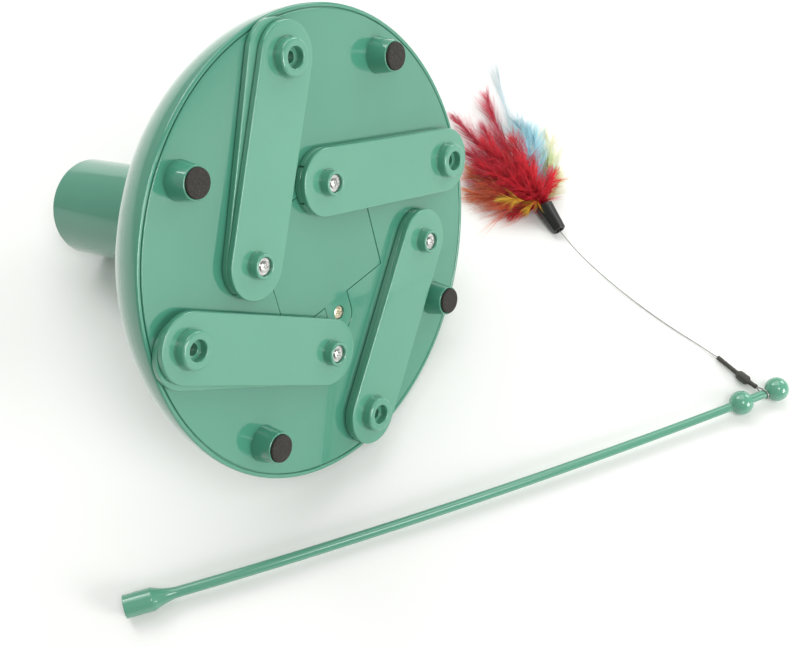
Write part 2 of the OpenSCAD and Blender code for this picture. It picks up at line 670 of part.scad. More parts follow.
module output_gear() color(white) in_base() difference() {
    union() {
        translate([0, 0, output_z]) wheel(gear_t, 0);
        translate([0, 0, output_z + gear_t]) cylinder(r = hub[0], h = hub[1]);
    }
    translate([0, 0, output_z - cut]) cylinder(r = shaft_r + seat_fit, h = gear_t + hub[1] + 2 * cut);
}
shaft_top = recess_z + head_gap + 3.4;
shaft_hole = 6;
module output_shaft() color(steel) in_base() difference() {
    union() {
        translate([0, 0, train_z + gear_t + face_gap]) cylinder(r = stub_r, h = 2 * layer + 2);
        translate([0, 0, output_z - 0.1]) cylinder(r = shaft_r, h = shaft_top - output_z + 0.1);
    }
    translate([0, 0, shaft_top - shaft_hole])
        cylinder(r = head_screw[2] + seat_fit, h = shaft_hole + cut);
}
module shaft_bush() color(brass) in_base() difference() {
    translate([0, 0, end_wall_z]) cylinder(r = bush_r - seat_fit, h = end_wall);
    translate([0, 0, end_wall_z - cut]) cylinder(r = shaft_r + run_fit, h = end_wall + 2 * cut);
}

// Rotor head in the tower's end, with the post for the wand off its axis
post_angle = 80;
head_bevel = 0.6;
post_bevel = 0.7;
head_z = recess_z + head_gap;
head_top = head_z + head_t;
module rotor_head() color(teal) in_base() difference() {
    union() {
        translate([0, 0, head_z]) cylinder(r = head_r, h = head_t - head_bevel);
        translate([0, 0, head_top - head_bevel - join])
            cylinder(r1 = head_r, r2 = head_r - head_bevel, h = head_bevel + join);
        rotate([0, 0, post_angle]) translate([post_throw, 0, head_top - 0.1]) {
            cylinder(r = post_r, h = post_len - post_bevel);
            translate([0, 0, post_len - post_bevel - join])
                cylinder(r1 = post_r, r2 = post_r - post_bevel, h = post_bevel);
        }
    }
    translate([0, 0, head_z - cut])
        cylinder(r = shaft_r + seat_fit, h = cut + shaft_top - head_z + under_head);
    translate([0, 0, head_z]) cylinder(r = head_screw[2] + 0.1, h = head_t + cut);
    translate([0, 0, shaft_top + 0.5]) cylinder(r = head_screw[0] + 0.2, h = head_t);
}
module rotor_screw() color(steel) in_base()
    translate([0, 0, shaft_top + 0.5 + under_head + head_screw[1]]) mirror([0, 0, 1])
        screw(head_screw, shaft_hole - 1);

// Legs: an inner arm on the plate's pivot, an outer arm on the inner arm's elbow post
module arm(z, t) {
    bevel = [[-arm_r, z + t], [-arm_r, z + arm_chamfer], [-arm_r + arm_chamfer, z],
             [arm_r - arm_chamfer, z], [arm_r, z + arm_chamfer], [arm_r, z + t]];
    rotate([90, 0, 90]) linear_extrude(arm_len) polygon(bevel);
    for (x = [0, arm_len]) translate([x, 0, z]) {
        cylinder(r1 = arm_r - arm_chamfer, r2 = arm_r, h = arm_chamfer, $fn = 96);
        translate([0, 0, arm_chamfer]) cylinder(r = arm_r, h = t - arm_chamfer, $fn = 96);
    }
}
module inner_arm(k) color(teal) in_base() at_pivot(k) difference() {
    union() {
        arm(inner_arm_z, arm_t);
        translate([arm_len, 0, elbow_post_z])
            cylinder(r = elbow_post_r, h = inner_arm_z - elbow_post_z + sink);
    }
    translate([0, 0, inner_arm_z - cut]) {
        cylinder(r = pin_r + run_fit, h = arm_t + 2 * cut);
        cylinder(r = pin_head_r + head_clear, h = cut + pin_head_t + head_clear);
    }
    translate([arm_len, 0, elbow_post_z - cut])
        cylinder(r = elbow_bolt[2] + seat_fit, h = cut + elbow_hole);
    for (s = [-1, 1]) translate([arm_len, 0, inner_arm_z - cut]) rotate([0, 0, notch_angle * s])
        translate([arm_r - notch_d, -notch_w / 2, 0]) cube([2 * notch_d, notch_w, arm_t + 2 * cut]);
}
module outer_arm(k) color(teal) in_base() at_elbow(k) difference() {
    union() {
        arm(outer_arm_z, arm_t);
        for (b = [[0, elbow_boss_r], [arm_len, foot_boss_r]]) translate([b[0], 0, boss_z]) {
            cylinder(r1 = b[1] - boss_bevel, r2 = b[1], h = boss_bevel);
            translate([0, 0, boss_bevel]) cylinder(r = b[1], h = boss_h);
        }
    }
    translate([0, 0, boss_z - cut]) {
        cylinder(r = elbow_post_r + run_fit, h = outer_face - boss_z + 2 * cut);
        cylinder(r = elbow_recess_r, h = cut + elbow_post_z - boss_z + 0.15);
    }
    translate([arm_len, 0, boss_z - cut]) {
        cylinder(r = foot_bore_r, h = cut + boss_h - foot_web);
        cylinder(r = foot_step_r, h = outer_face - boss_z + 2 * cut);
    }
}
module pivot_pin(k) color(steel) in_base() at_pivot(k) {
    head_low = inner_arm_z + 0.1;
    translate([0, 0, head_low]) cylinder(r = pin_head_r, h = pin_head_t);
    translate([0, 0, head_low + pin_head_t - join])
        cylinder(r = pin_r, h = pin_end_z - 0.1 - head_low - pin_head_t);
}
module elbow_screw(k) color(steel) in_base() at_elbow(k) {
    washer_low = elbow_post_z - under_head - washer_t;
    translate([0, 0, washer_low]) cylinder(r = washer_r, h = washer_t);
    translate([0, 0, washer_low + join - elbow_bolt[1]]) screw(elbow_bolt, elbow_hole);
}

// Wand: socket, tapering rod and two balls in one moulding
// A child that stands on z = 0 is aimed from one point along a line
module aimed(start, line) {
    translate(start) rotate([0, acos(line.z / norm(line)), atan2(line.y, line.x)]) children();
}
rod_steps = 24;
lip_bevel = 0.3;
module wand() color(teal) in_row() {
    translate(wand_point(0)) rotate([0, 90, wand_heading]) difference() {
        union() {
            cylinder(r1 = socket_r - lip_bevel, r2 = socket_r, h = lip_bevel);
            translate([0, 0, lip_bevel]) cylinder(r = socket_r, h = socket_len - lip_bevel);
            translate([0, 0, socket_len]) cylinder(r1 = socket_r, r2 = rod_r[0], h = socket_taper);
        }
        translate([0, 0, -cut]) cylinder(r = post_r + run_fit, h = socket_len + cut);
    }
    start = taper_end - sink;
    places = [for (i = [0 : rod_steps]) start + (ball_at[0] - start) * i / rod_steps];
    sweep([for (s = places) wand_point(s)], [for (s = places) rod_radius(s)], 16);
    aimed(wand_point(ball_at[0]), neck) cylinder(r = neck_r, h = norm(neck));
    for (s = ball_at) translate(wand_point(s)) sphere(r = ball_r);
}

// Lure: loop round the wand's neck, shrink sleeve, wire, cap and feathers
module lure_loop() color(steel) in_row() {
    aimed(loop_eye, neck) rotate_extrude() translate([loop_r, 0]) circle(r = wire_r, $fn = 16);
    tail_line = sleeve_start - loop_eye;
    aimed(loop_eye + loop_r * tail_line / norm(tail_line), tail_line)
        cylinder(r = wire_r, h = norm(tail_line) - loop_r - under_head, $fn = 16);
}
// Rings of the sleeve: where each sits between its start, the crimp and its end, and its radius
sleeve_rings = [[-1, 1], [-0.5, 1], [-0.3, 1.9], [-0.12, 2.15], [0.08, 2.15], [0.2, 1.7], [0.28, 1.1],
                [0.6, 1], [1, 1]];
module lure_sleeve() color(black) in_row() {
    path = [for (r = sleeve_rings) let (far = r[0] < 0 ? sleeve_start : sleeve_end)
        sleeve_bulge + abs(r[0]) * (far - sleeve_bulge)];
    sweep(path, [for (r = sleeve_rings) sleeve_r * r[1]], 12);
}
module lure_wire() color(steel) in_row() tube(wire_route, wire_r, 3);
cap_taper = 0.55;
cap_bevel = 0.8;
cap_hole = 7;
cap_wall = 0.8;
module lure_cap() color(black) in_row() translate(cap_start) rotate([0, 90, cap_heading]) difference() {
    low_r = cap_r - cap_taper;
    union() {
        translate([0, 0, under_head]) cylinder(r1 = low_r - cap_taper, r2 = low_r, h = cap_bevel);
        translate([0, 0, cap_bevel]) cylinder(r1 = low_r, r2 = cap_r, h = cap_len - cap_bevel);
    }
    translate([0, 0, cap_len - cap_hole]) cylinder(r = cap_r - cap_wall, h = cap_hole + cut);
}
module feather_red() color([0.80, 0.10, 0.16]) in_row() plume(red_spine, 15, 6);
module feather_crimson() color([0.72, 0.08, 0.14]) in_row() plume(crimson_spine, 13, 4.5);
module feather_blue() color([0.50, 0.82, 0.92]) in_row() plume(blue_spine, 6, 3);
module feather_green() color([0.62, 0.86, 0.45]) in_row() plume(green_spine, 6, 3);
module feather_orange() color([0.92, 0.55, 0.14]) in_row() plume(orange_spine, 7, 2.8);

dome_housing();
base_plate();
foot_pads();
housing_screws();
battery_door();
battery_door_screw();
batteries();
battery_contacts();
battery_springs();
battery_leads();
circuit_board();
board_screws();
power_switch();
switch_plunger();
power_button();
motor();
motor_screws();
motor_leads();
motor_shaft();
motor_pinion();
gearbox_frame();
gearbox_cover();
gearbox_screws();
idler_axle();
first_gear();
second_gear();
third_gear();
output_gear();
output_shaft();
shaft_bush();
rotor_head();
rotor_screw();
inner_arm(1);  // inner_arm_1
inner_arm(2);  // inner_arm_2
inner_arm(3);  // inner_arm_3
inner_arm(4);  // inner_arm_4
outer_arm(1);  // outer_arm_1
outer_arm(2);  // outer_arm_2
outer_arm(3);  // outer_arm_3
outer_arm(4);  // outer_arm_4
pivot_pin(1);  // pivot_pin_1
pivot_pin(2);  // pivot_pin_2
pivot_pin(3);  // pivot_pin_3
pivot_pin(4);  // pivot_pin_4
elbow_screw(1);  // elbow_screw_1
elbow_screw(2);  // elbow_screw_2
elbow_screw(3);  // elbow_screw_3
elbow_screw(4);  // elbow_screw_4
wand();
lure_loop();
lure_sleeve();
lure_wire();
lure_cap();
feather_red();
feather_crimson();
feather_blue();
feather_green();
feather_orange();
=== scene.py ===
"""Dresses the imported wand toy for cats: moulded base, folding legs, wand and feather lure.

Sizes are millimetres in the classes and metres in the meshes. Every piece sits in the frame of the
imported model, with its place in its mesh and its object at the origin.
"""

import json
import logging
import math
from dataclasses import dataclass, field
from enum import Enum
from typing import Optional, Sequence, Union

import bpy
import numpy as np
from mathutils import Matrix
from mathutils.geometry import tessellate_polygon


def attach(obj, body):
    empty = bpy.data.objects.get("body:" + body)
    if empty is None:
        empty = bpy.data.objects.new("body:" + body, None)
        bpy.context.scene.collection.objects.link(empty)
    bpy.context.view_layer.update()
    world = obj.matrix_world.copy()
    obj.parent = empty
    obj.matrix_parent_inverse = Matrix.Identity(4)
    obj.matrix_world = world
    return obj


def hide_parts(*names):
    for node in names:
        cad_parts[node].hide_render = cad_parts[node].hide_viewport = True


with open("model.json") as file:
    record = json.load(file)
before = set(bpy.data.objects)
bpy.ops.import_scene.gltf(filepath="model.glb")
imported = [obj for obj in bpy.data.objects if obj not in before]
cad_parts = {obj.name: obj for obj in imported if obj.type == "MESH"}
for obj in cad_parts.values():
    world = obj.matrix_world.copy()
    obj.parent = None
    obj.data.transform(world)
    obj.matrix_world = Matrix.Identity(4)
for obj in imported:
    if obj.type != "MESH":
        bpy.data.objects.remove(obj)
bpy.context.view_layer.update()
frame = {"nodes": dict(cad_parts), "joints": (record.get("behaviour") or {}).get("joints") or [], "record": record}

LOG = logging.getLogger("wand_toy")
Array = np.ndarray
Numbers = Union[float, Array]
Socket = bpy.types.NodeSocket
Feed = Union[Socket, float, tuple]
MM = 0.001
TAU = 2 * math.pi
LEGS = (1, 2, 3, 4)
SEED = 11


def joint(name: str) -> dict:
    """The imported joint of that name."""
    return next(j for j in frame["joints"] if j["name"] == name)


def unit(vector: Array) -> Array:
    """The vector at length one, along its last axis."""
    return vector / np.linalg.norm(vector, axis=-1, keepdims=True)


def shift(x: float, y: float, z: float) -> Array:
    """A 4x4 matrix that moves by x, y and z.

    Args:
        x: The move along x.
        y: The move along y.
        z: The move along z.

    Returns:
        The matrix.
    """
    place = np.eye(4)
    place[:3, 3] = (x, y, z)
    return place


def turn(degrees: float, axis: int = 2) -> Array:
    """A 4x4 matrix that turns about one of the axes, 0 to 2, by the right-hand rule.

    Args:
        degrees: The angle.
        axis: The axis, 0 to 2.

    Returns:
        The matrix.
    """
    c, s = math.cos(math.radians(degrees)), math.sin(math.radians(degrees))
    a, b = (axis + 1) % 3, (axis + 2) % 3
    place = np.eye(4)
    place[a, a] = place[b, b] = c
    place[a, b], place[b, a] = -s, s
    return place


def stand(origin: Array, direction: Array) -> Array:
    """A 4x4 matrix that puts local z along a direction at an origin.

    Args:
        origin: Where the local origin goes.
        direction: Where local z points.

    Returns:
        The matrix.
    """
    z = unit(np.asarray(direction, float))
    helper = np.array((0, 0, 1.0)) if abs(z[2]) < 0.9 else np.array((1.0, 0, 0))
    x = unit(np.cross(helper, z))
    place = np.eye(4)
    place[:3, 0], place[:3, 1], place[:3, 2], place[:3, 3] = x, np.cross(z, x), z, origin
    return place


def moved(place: Array, points: Array) -> Array:
    """The points carried by a 4x4 matrix."""
    return points @ place[:3, :3].T + place[:3, 3]


def rounded(corners: Sequence[tuple], closed: bool = False, steps: int = 5) -> Array:
    """A line through corners (a, b, radius), each corner of radius above 0 replaced by an arc.

    The arc touches both sides of its corner; its centre is on the corner's bisector.

    Args:
        corners: The corners in order, with their radii.
        closed: Whether the line runs back to its start.
        steps: Points to an arc, less one.

    Returns:
        The points of the line, one a row.
    """
    points: list[Array] = []
    count = len(corners)
    for i, (a, b, radius) in enumerate(corners):
        here = np.array((a, b), float)
        if radius <= 0 or (not closed and i in (0, count - 1)):
            points.append(here)
            continue
        back = np.array(corners[i - 1][:2], float) - here
        ahead = np.array(corners[(i + 1) % count][:2], float) - here
        u, v = unit(back), unit(ahead)
        half = math.acos(np.clip(u @ v, -1, 1)) / 2
        reach = min(radius / math.tan(half), 0.49 * np.linalg.norm(back), 0.49 * np.linalg.norm(ahead))
        centre = here + unit(u + v) * reach / math.cos(half)
        start, end = here + u * reach - centre, here + v * reach - centre
        t = np.linspace(0, 1, steps + 1)[:, None]
        sweep = math.pi - 2 * half
        arc = (np.sin((1 - t) * sweep) * start + np.sin(t * sweep) * end) / math.sin(sweep)
        points.extend(centre + arc)
    return np.array(points)


def circle(radius: float, count: int = 64, x: float = 0, y: float = 0) -> Array:
    """A counter-clockwise ring of points about (x, y)."""
    a = np.arange(count) * TAU / count
    return np.stack((x + radius * np.cos(a), y + radius * np.sin(a)), -1)


def inset(loop: Array, depth: float) -> Array:
    """A counter-clockwise loop moved inwards: each point slides along its corner's mitre.

    Args:
        loop: The loop, one point a row.
        depth: How far its sides move; outwards if negative.

    Returns:
        The moved loop.
    """
    ahead = unit(np.roll(loop, -1, 0) - loop)
    normal = np.stack((ahead[:, 1], -ahead[:, 0]), -1)
    before = np.roll(normal, 1, 0)
    return loop - depth * (before + normal) / (1 + (before * normal).sum(-1, keepdims=True))


def level(low: float, high: float) -> Array:
    """A slab's straight edge as (inset, z), from one height to another."""
    return np.array([(0, low), (0, high)])


def smooth_line(points: Sequence, count: int) -> Array:
    """A Catmull-Rom curve through the points, with count samples at an even parameter.

    Args:
        points: The points that the curve passes.
        count: The number of samples.

    Returns:
        The samples.
    """
    p = np.asarray(points, float)
    p = np.concatenate((2 * p[:1] - p[1:2], p, 2 * p[-1:] - p[-2:-1]))
    u = np.linspace(0, len(p) - 3 - 1e-9, count)
    i, f = u.astype(int), (u % 1)[:, None]
    a, b, c, d = p[i], p[i + 1], p[i + 2], p[i + 3]
    return 0.5 * (2 * b + f * (c - a) + f**2 * (2 * a - 5 * b + 4 * c - d) + f**3 * (3 * b - a - 3 * c + d))


class Skin:
    """Closed skins gathered into one mesh; their points are millimetres in the row's frame."""

    def __init__(self) -> None:
        """Starts with no points and no faces."""
        self._points: list[Array] = []
        self._faces: list[Array] = []
        self._count = 0

    def add(self, points: Array, faces: Sequence[Array]) -> None:
        """Adds points and their faces, turned so that the skin faces outwards.

        Args:
            points: The points, one a row.
            faces: Arrays of triangles and of quads, by point number.
        """
        volume = 0.0
        for group in faces:
            p = points[group]
            for k in range(1, group.shape[1] - 1):
                volume += np.einsum("ij,ij->", p[:, 0], np.cross(p[:, k], p[:, k + 1]))
        for group in faces:
            self._faces.append((group if volume > 0 else group[:, ::-1]) + self._count)
        self._points.append(points)
        self._count += len(points)

    @staticmethod
    def _weave(rows: int, columns: int, wrap: bool) -> Array:
        """Quads of a grid that wraps across its columns, and across its rows if wrap is set.

        Args:
            rows: The number of rings.
            columns: Points to a ring.
            wrap: Whether the last ring joins the first.

        Returns:
            The quads, by point number.
        """
        i = np.arange(rows if wrap else rows - 1)[:, None]
        j = np.arange(columns)[None, :]
        i2, j2 = (i + 1) % rows, (j + 1) % columns
        corners = (i * columns + j, i * columns + j2, i2 * columns + j2, i2 * columns + j)
        return np.stack(corners, -1).reshape(-1, 4)

    def grid(self, points: Array, wrap: bool = False, tips: Optional[Array] = None) -> None:
        """Adds a tube of rings; without wrap, its ends are closed with a fan.

        Args:
            points: The rings, as an array of rings by points by 3.
            wrap: Whether the last ring joins the first.
            tips: The middle points of the two fans, if they aren't the middles of the end rings.
        """
        rows, columns = points.shape[:2]
        flat = points.reshape(-1, 3)
        faces = [self._weave(rows, columns, wrap)]
        if not wrap:
            ends = np.stack((points[0].mean(0), points[-1].mean(0))) if tips is None else tips
            j = np.arange(columns)
            j2 = (j + 1) % columns
            last = (rows - 1) * columns
            faces.append(np.stack((j2, j, np.full(columns, len(flat))), -1))
            faces.append(np.stack((last + j, last + j2, np.full(columns, len(flat) + 1)), -1))
            flat = np.concatenate((flat, ends))
        self.add(flat, faces)

    def lathe(self, profile: Array, place: Array, segments: int = 96, wrap: bool = False) -> None:
        """Turns a profile of (r, z) about z: a point is (r cos a, r sin a, z).

        Args:
            profile: The profile; it runs from axis to axis, or back to its start with wrap.
            place: Where local z = 0 sits, as a 4x4 matrix.
            segments: Points to a ring.
            wrap: Whether the profile is a closed loop off the axis.
        """
        a = np.arange(segments) * TAU / segments
        off_axis = profile[profile[:, 0] > 0]
        r, z = off_axis[:, :1], off_axis[:, 1:]
        rings = np.stack((r * np.cos(a), r * np.sin(a), z + 0 * a), -1)
        tips = np.array([(0, 0, profile[0, 1]), (0, 0, profile[-1, 1])])
        self.grid(moved(place, rings), wrap, moved(place, tips))

    def sweep(self, path: Array, radii: Array, sides: int, up: Sequence = (0, 0, 1)) -> None:
        """Carries a circle along a path: a ring is the path's point plus radius times its normal plane.

        Args:
            path: The points of the path.
            radii: A radius for each point.
            sides: Points to a ring.
            up: A direction that the path never runs along.
        """
        along = unit(np.gradient(path, axis=0))
        side = unit(np.cross(along, np.asarray(up, float)))
        above = np.cross(side, along)
        a = np.arange(sides) * TAU / sides
        out = np.cos(a)[:, None] * side[:, None] + np.sin(a)[:, None] * above[:, None]
        self.grid(path[:, None] + np.asarray(radii)[:, None, None] * out)

    def slab(self, outline: Array, edge: Array, place: Array, holes: Sequence[tuple] = ()) -> None:
        """Fills an outline between two heights, with holes through it.

        Args:
            outline: The outer loop, counter-clockwise, one point a row.
            edge: Its edge as (inset, z), from the low face up to the high face.
            place: Where the slab sits, as a 4x4 matrix.
            holes: Pairs of a counter-clockwise loop and its edge as (outset, z), low to high.
        """
        loops = [(outline, edge, 1)] + [(loop, wall, -1) for loop, wall in holes]
        points, faces, lows, highs, start = [], [], [], [], 0
        for loop, wall, sign in loops:
            rings = [np.column_stack((inset(loop, sign * d), np.full(len(loop), z))) for d, z in wall]
            weave = self._weave(len(rings), len(loop), False) + start
            faces.append(weave if sign > 0 else weave[:, ::-1])
            lows.append((rings[0], start))
            highs.append((rings[-1], start + (len(rings) - 1) * len(loop)))
            points.extend(rings)
            start += len(rings) * len(loop)
        for rims, facing in ((lows, -1), (highs, 1)):
            number = np.concatenate([first + np.arange(len(ring)) for ring, first in rims])
            flat = np.concatenate([ring for ring, _ in rims])
            fill = np.array(tessellate_polygon([[tuple(p) for p in ring] for ring, _ in rims]))
            one, two = flat[fill[:, 1]] - flat[fill[:, 0]], flat[fill[:, 2]] - flat[fill[:, 0]]
            area = one[:, 0] * two[:, 1] - one[:, 1] * two[:, 0]
            fill[area * facing < 0] = fill[area * facing < 0][:, ::-1]
            faces.append(number[fill])
        self.add(moved(place, np.concatenate(points)), faces)

    def mesh(self, name: str) -> bpy.types.Mesh:
        """The gathered skins as a Blender mesh in metres, smooth shaded.

        Args:
            name: The mesh's name.

        Returns:
            The mesh.
        """
        data = bpy.data.meshes.new(name)
        points = np.concatenate(self._points) * MM
        corners = np.concatenate([f.ravel() for f in self._faces])
        sizes = np.concatenate([np.full(len(f), f.shape[1]) for f in self._faces])
        data.vertices.add(len(points))
        data.vertices.foreach_set("co", points.astype(np.float32).ravel())
        data.loops.add(len(corners))
        data.loops.foreach_set("vertex_index", corners.astype(np.int32))
        data.polygons.add(len(sizes))
        starts = np.concatenate(([0], np.cumsum(sizes)[:-1]))
        data.polygons.foreach_set("loop_start", starts.astype(np.int32))
        data.polygons.foreach_set("use_smooth", np.ones(len(sizes), bool))
        data.update(calc_edges=True)
        data.validate()
        return data


class Marks(Enum):
    """The shader node groups that give surfaces their small marks."""

    MOULDING = "moulding_marks"
    MACHINING = "machining_marks"
    FOAM = "foam_cells"


class Nodes:
    """A small writer of shader node trees."""

    def __init__(self, tree: bpy.types.NodeTree) -> None:
        """Writes into the tree."""
        self.tree = tree

    def add(self, kind: str, **values) -> bpy.types.Node:
        """Adds a node and sets its properties; a name ending in _in sets the socket of that name.

        Args:
            kind: Blender's name of the node type.
            **values: Properties of the node, or values of its input sockets.

        Returns:
            The new node.
        """
        node = self.tree.nodes.new(kind)
        for key, value in values.items():
            if key.endswith("_in"):
                node.inputs[key[:-3].replace("_", " ")].default_value = value
            else:
                setattr(node, key, value)
        return node

    def link(self, source: Socket, target: Socket) -> None:
        """Joins an output to an input."""
        self.tree.links.new(source, target)

    def feed(self, target: Socket, value: Feed) -> None:
        """Joins a socket to an input, or sets the input to a plain value.

        Args:
            target: The input.
            value: An output socket, a number or a colour.
        """
        if isinstance(value, Socket):
            self.link(value, target)
        else:
            target.default_value = value

    def noise(self, vector: Socket, scale: float, detail: float) -> Socket:
        """The value of a noise texture on a vector.

        Args:
            vector: The coordinates.
            scale: Cells to a metre.
            detail: The number of octaves.

        Returns:
            The noise.
        """
        node = self.add("ShaderNodeTexNoise", Scale_in=scale, Detail_in=detail)
        self.link(vector, node.inputs["Vector"])
        return node.outputs["Fac"]

    def span(self, value: Socket, low: float, high: float, to_low: float, to_high: float) -> Socket:
        """The value carried from the span low..high to the span to_low..to_high.

        Args:
            value: The value.
            low: The start of its span.
            high: The end of its span.
            to_low: What low becomes.
            to_high: What high becomes.

        Returns:
            The carried value.
        """
        node = self.add("ShaderNodeMapRange", From_Min_in=low, From_Max_in=high,
                        To_Min_in=to_low, To_Max_in=to_high)
        self.link(value, node.inputs["Value"])
        return node.outputs["Result"]

    def math(self, operation: str, a: Feed, b: Feed) -> Socket:
        """A math node on two sockets or numbers.

        Args:
            operation: Blender's name of the operation.
            a: The first value.
            b: The second value.

        Returns:
            The result.
        """
        node = self.add("ShaderNodeMath", operation=operation)
        self.feed(node.inputs[0], a)
        self.feed(node.inputs[1], b)
        return node.outputs["Value"]

    def mix(self, factor: Feed, a: Feed, b: Feed) -> Socket:
        """A colour mix on sockets, numbers or colours.

        Args:
            factor: The share of the second colour.
            a: The first colour.
            b: The second colour.

        Returns:
            The mixed colour.
        """
        node = self.add("ShaderNodeMix", data_type="RGBA")
        for number, value in ((0, factor), (6, a), (7, b)):  # the factor and the two colours of an RGBA mix
            self.feed(node.inputs[number], value)
        return node.outputs[2]


def marks_group(kind: Marks) -> bpy.types.NodeTree:
    """The node group of that name, built on its first use.

    Each group takes a vector, a colour, a shade and a roughness, and puts out a colour that
    varies by the shade, a roughness and a height.

    Args:
        kind: Which marks the group draws.

    Returns:
        The node group.
    """
    if kind.value in bpy.data.node_groups:
        return bpy.data.node_groups[kind.value]
    group = bpy.data.node_groups.new(kind.value, "ShaderNodeTree")
    sockets = (("Vector", "INPUT", "Vector"), ("Colour", "INPUT", "Color"), ("Shade", "INPUT", "Color"),
               ("Roughness", "INPUT", "Float"), ("Colour", "OUTPUT", "Color"),
               ("Roughness", "OUTPUT", "Float"), ("Height", "OUTPUT", "Float"))
    for name, way, sort in sockets:
        group.interface.new_socket(name, in_out=way, socket_type=f"NodeSocket{sort}")
    n = Nodes(group)
    given, out = n.add("NodeGroupInput"), n.add("NodeGroupOutput")
    vector = given.outputs["Vector"]
    if kind is Marks.MOULDING:
        patches = n.span(n.noise(vector, 14, 3), 0.35, 0.65, 0, 1)
        grain = n.noise(vector, 900, 2)
        wipe = n.span(n.noise(vector, 55, 5), 0.4, 0.7, -0.03, 0.05)
        roughness = n.math("ADD", given.outputs["Roughness"], wipe)
        height = n.math("ADD", grain, n.math("MULTIPLY", patches, 2.0))
    elif kind is Marks.MACHINING:
        stretch = n.add("ShaderNodeMapping", Scale_in=(60, 60, 2600))
        n.link(vector, stretch.inputs["Vector"])
        lines = n.noise(stretch.outputs["Vector"], 1, 2)
        patches = n.span(n.noise(vector, 260, 3), 0.35, 0.7, 0, 1)
        roughness = n.math("ADD", given.outputs["Roughness"], n.span(lines, 0.3, 0.7, -0.06, 0.12))
        height = lines
    else:
        cells = n.add("ShaderNodeTexVoronoi", Scale_in=1500)
        n.link(vector, cells.inputs["Vector"])
        patches = n.span(n.noise(vector, 1100, 3), 0.4, 0.75, 0, 1)
        roughness = n.math("ADD", given.outputs["Roughness"], n.span(patches, 0, 1, -0.05, 0.05))
        height = n.math("SUBTRACT", n.noise(vector, 500, 4), cells.outputs["Distance"])
    n.link(n.mix(patches, given.outputs["Colour"], given.outputs["Shade"]), out.inputs["Colour"])
    n.link(roughness, out.inputs["Roughness"])
    n.link(height, out.inputs["Height"])
    return group


@dataclass(frozen=True)
class Finish:
    """A surface finish: a base colour that drifts to a shade, with a gloss and its marks."""

    name: str
    colour: tuple
    shade: tuple
    roughness: float
    marks: Marks = Marks.MOULDING
    metallic: float = 0.0
    coat: float = 0.0
    bump: float = 0.02
    tint: str = ""
    ior: float = 1.5
    coat_roughness: float = 0.025
    bump_distance: float = 0.0004
    tint_drift: float = 0.25

    def material(self) -> bpy.types.Material:
        """The finish as a node material, built on its first use.

        Returns:
            The material.
        """
        if self.name in bpy.data.materials:
            return bpy.data.materials[self.name]
        made = bpy.data.materials.new(self.name)
        made.use_nodes = True
        made.node_tree.nodes.clear()
        n = Nodes(made.node_tree)
        where = n.add("ShaderNodeTexCoord")
        marks = n.add("ShaderNodeGroup", node_tree=marks_group(self.marks))
        marks.inputs["Colour"].default_value = (*self.colour, 1)
        marks.inputs["Shade"].default_value = (*self.shade, 1)
        marks.inputs["Roughness"].default_value = self.roughness
        n.link(where.outputs["Object"], marks.inputs["Vector"])
        if self.tint:
            tint = n.add("ShaderNodeAttribute", attribute_name=self.tint)
            n.link(tint.outputs["Color"], marks.inputs["Colour"])
            drift = n.mix(self.tint_drift, tint.outputs["Color"], (*self.shade, 1))
            n.link(drift, marks.inputs["Shade"])
        shader = n.add("ShaderNodeBsdfPrincipled", Metallic_in=self.metallic, Coat_Weight_in=self.coat)
        shader.inputs["IOR"].default_value = self.ior
        shader.inputs["Coat Roughness"].default_value = self.coat_roughness
        n.link(marks.outputs["Colour"], shader.inputs["Base Color"])
        n.link(marks.outputs["Roughness"], shader.inputs["Roughness"])
        bump = n.add("ShaderNodeBump", Strength_in=self.bump, Distance_in=self.bump_distance)
        n.link(marks.outputs["Height"], bump.inputs["Height"])
        n.link(bump.outputs["Normal"], shader.inputs["Normal"])
        out = n.add("ShaderNodeOutputMaterial")
        n.link(shader.outputs["BSDF"], out.inputs["Surface"])
        return made


def linear(red: int, green: int, blue: int) -> tuple:
    """A colour given in display steps of 0 to 255, as linear light."""
    c = np.array((red, green, blue)) / 255
    return tuple(np.where(c <= 0.04045, c / 12.92, ((c + 0.055) / 1.055) ** 2.4).tolist())


TEAL = Finish("teal_gloss_plastic", linear(66, 133, 110), linear(70, 138, 114), 0.12,
              coat=0.55, bump=0.008)
# The legs use the base's teal plastic painted lighter: painted light that stands in for the stronger light falling
# on the legs.
LEG_TEAL_PAINTED_LIGHTER = Finish("teal_leg_plastic_painted_lighter", linear(79, 144, 120), linear(83, 149, 124), 0.14,
                  coat=0.55, bump=0.008)
# The wand uses the same teal plastic painted lighter: painted light that stands in for the light from above
# falling on the wand.
WAND_TEAL_PAINTED_LIGHTER = Finish("teal_wand_plastic_painted_lighter", linear(86, 148, 123), linear(90, 153, 127), 0.14,
                   coat=0.5, bump=0.006)
PAD = Finish("pad_foam", linear(38, 36, 33), linear(62, 58, 53), 0.92, Marks.FOAM, bump=0.5)
ZINC = Finish("zinc_steel", linear(206, 207, 204), linear(178, 178, 174), 0.24,
              Marks.MACHINING, 1.0, bump=0.05)
YELLOW_ZINC = Finish("yellow_zinc_steel", linear(204, 197, 176), linear(186, 172, 142), 0.26,
                     Marks.MACHINING, 1.0, bump=0.05)
BRASS = Finish("turned_brass", linear(214, 180, 104), linear(190, 152, 84), 0.28,
               Marks.MACHINING, 1.0)
MOTOR = Finish("motor_can_steel", linear(186, 188, 190), linear(160, 162, 166), 0.34,
               Marks.MACHINING, 1.0)
CELL = Finish("cell_wrap", linear(40, 42, 48), linear(56, 58, 66), 0.3)
BOARD = Finish("green_laminate", linear(26, 92, 58), linear(34, 110, 70), 0.42)
BLACK = Finish("cap_plastic", linear(20, 19, 17), linear(28, 27, 24), 0.26, bump=0.03, ior=1.45)
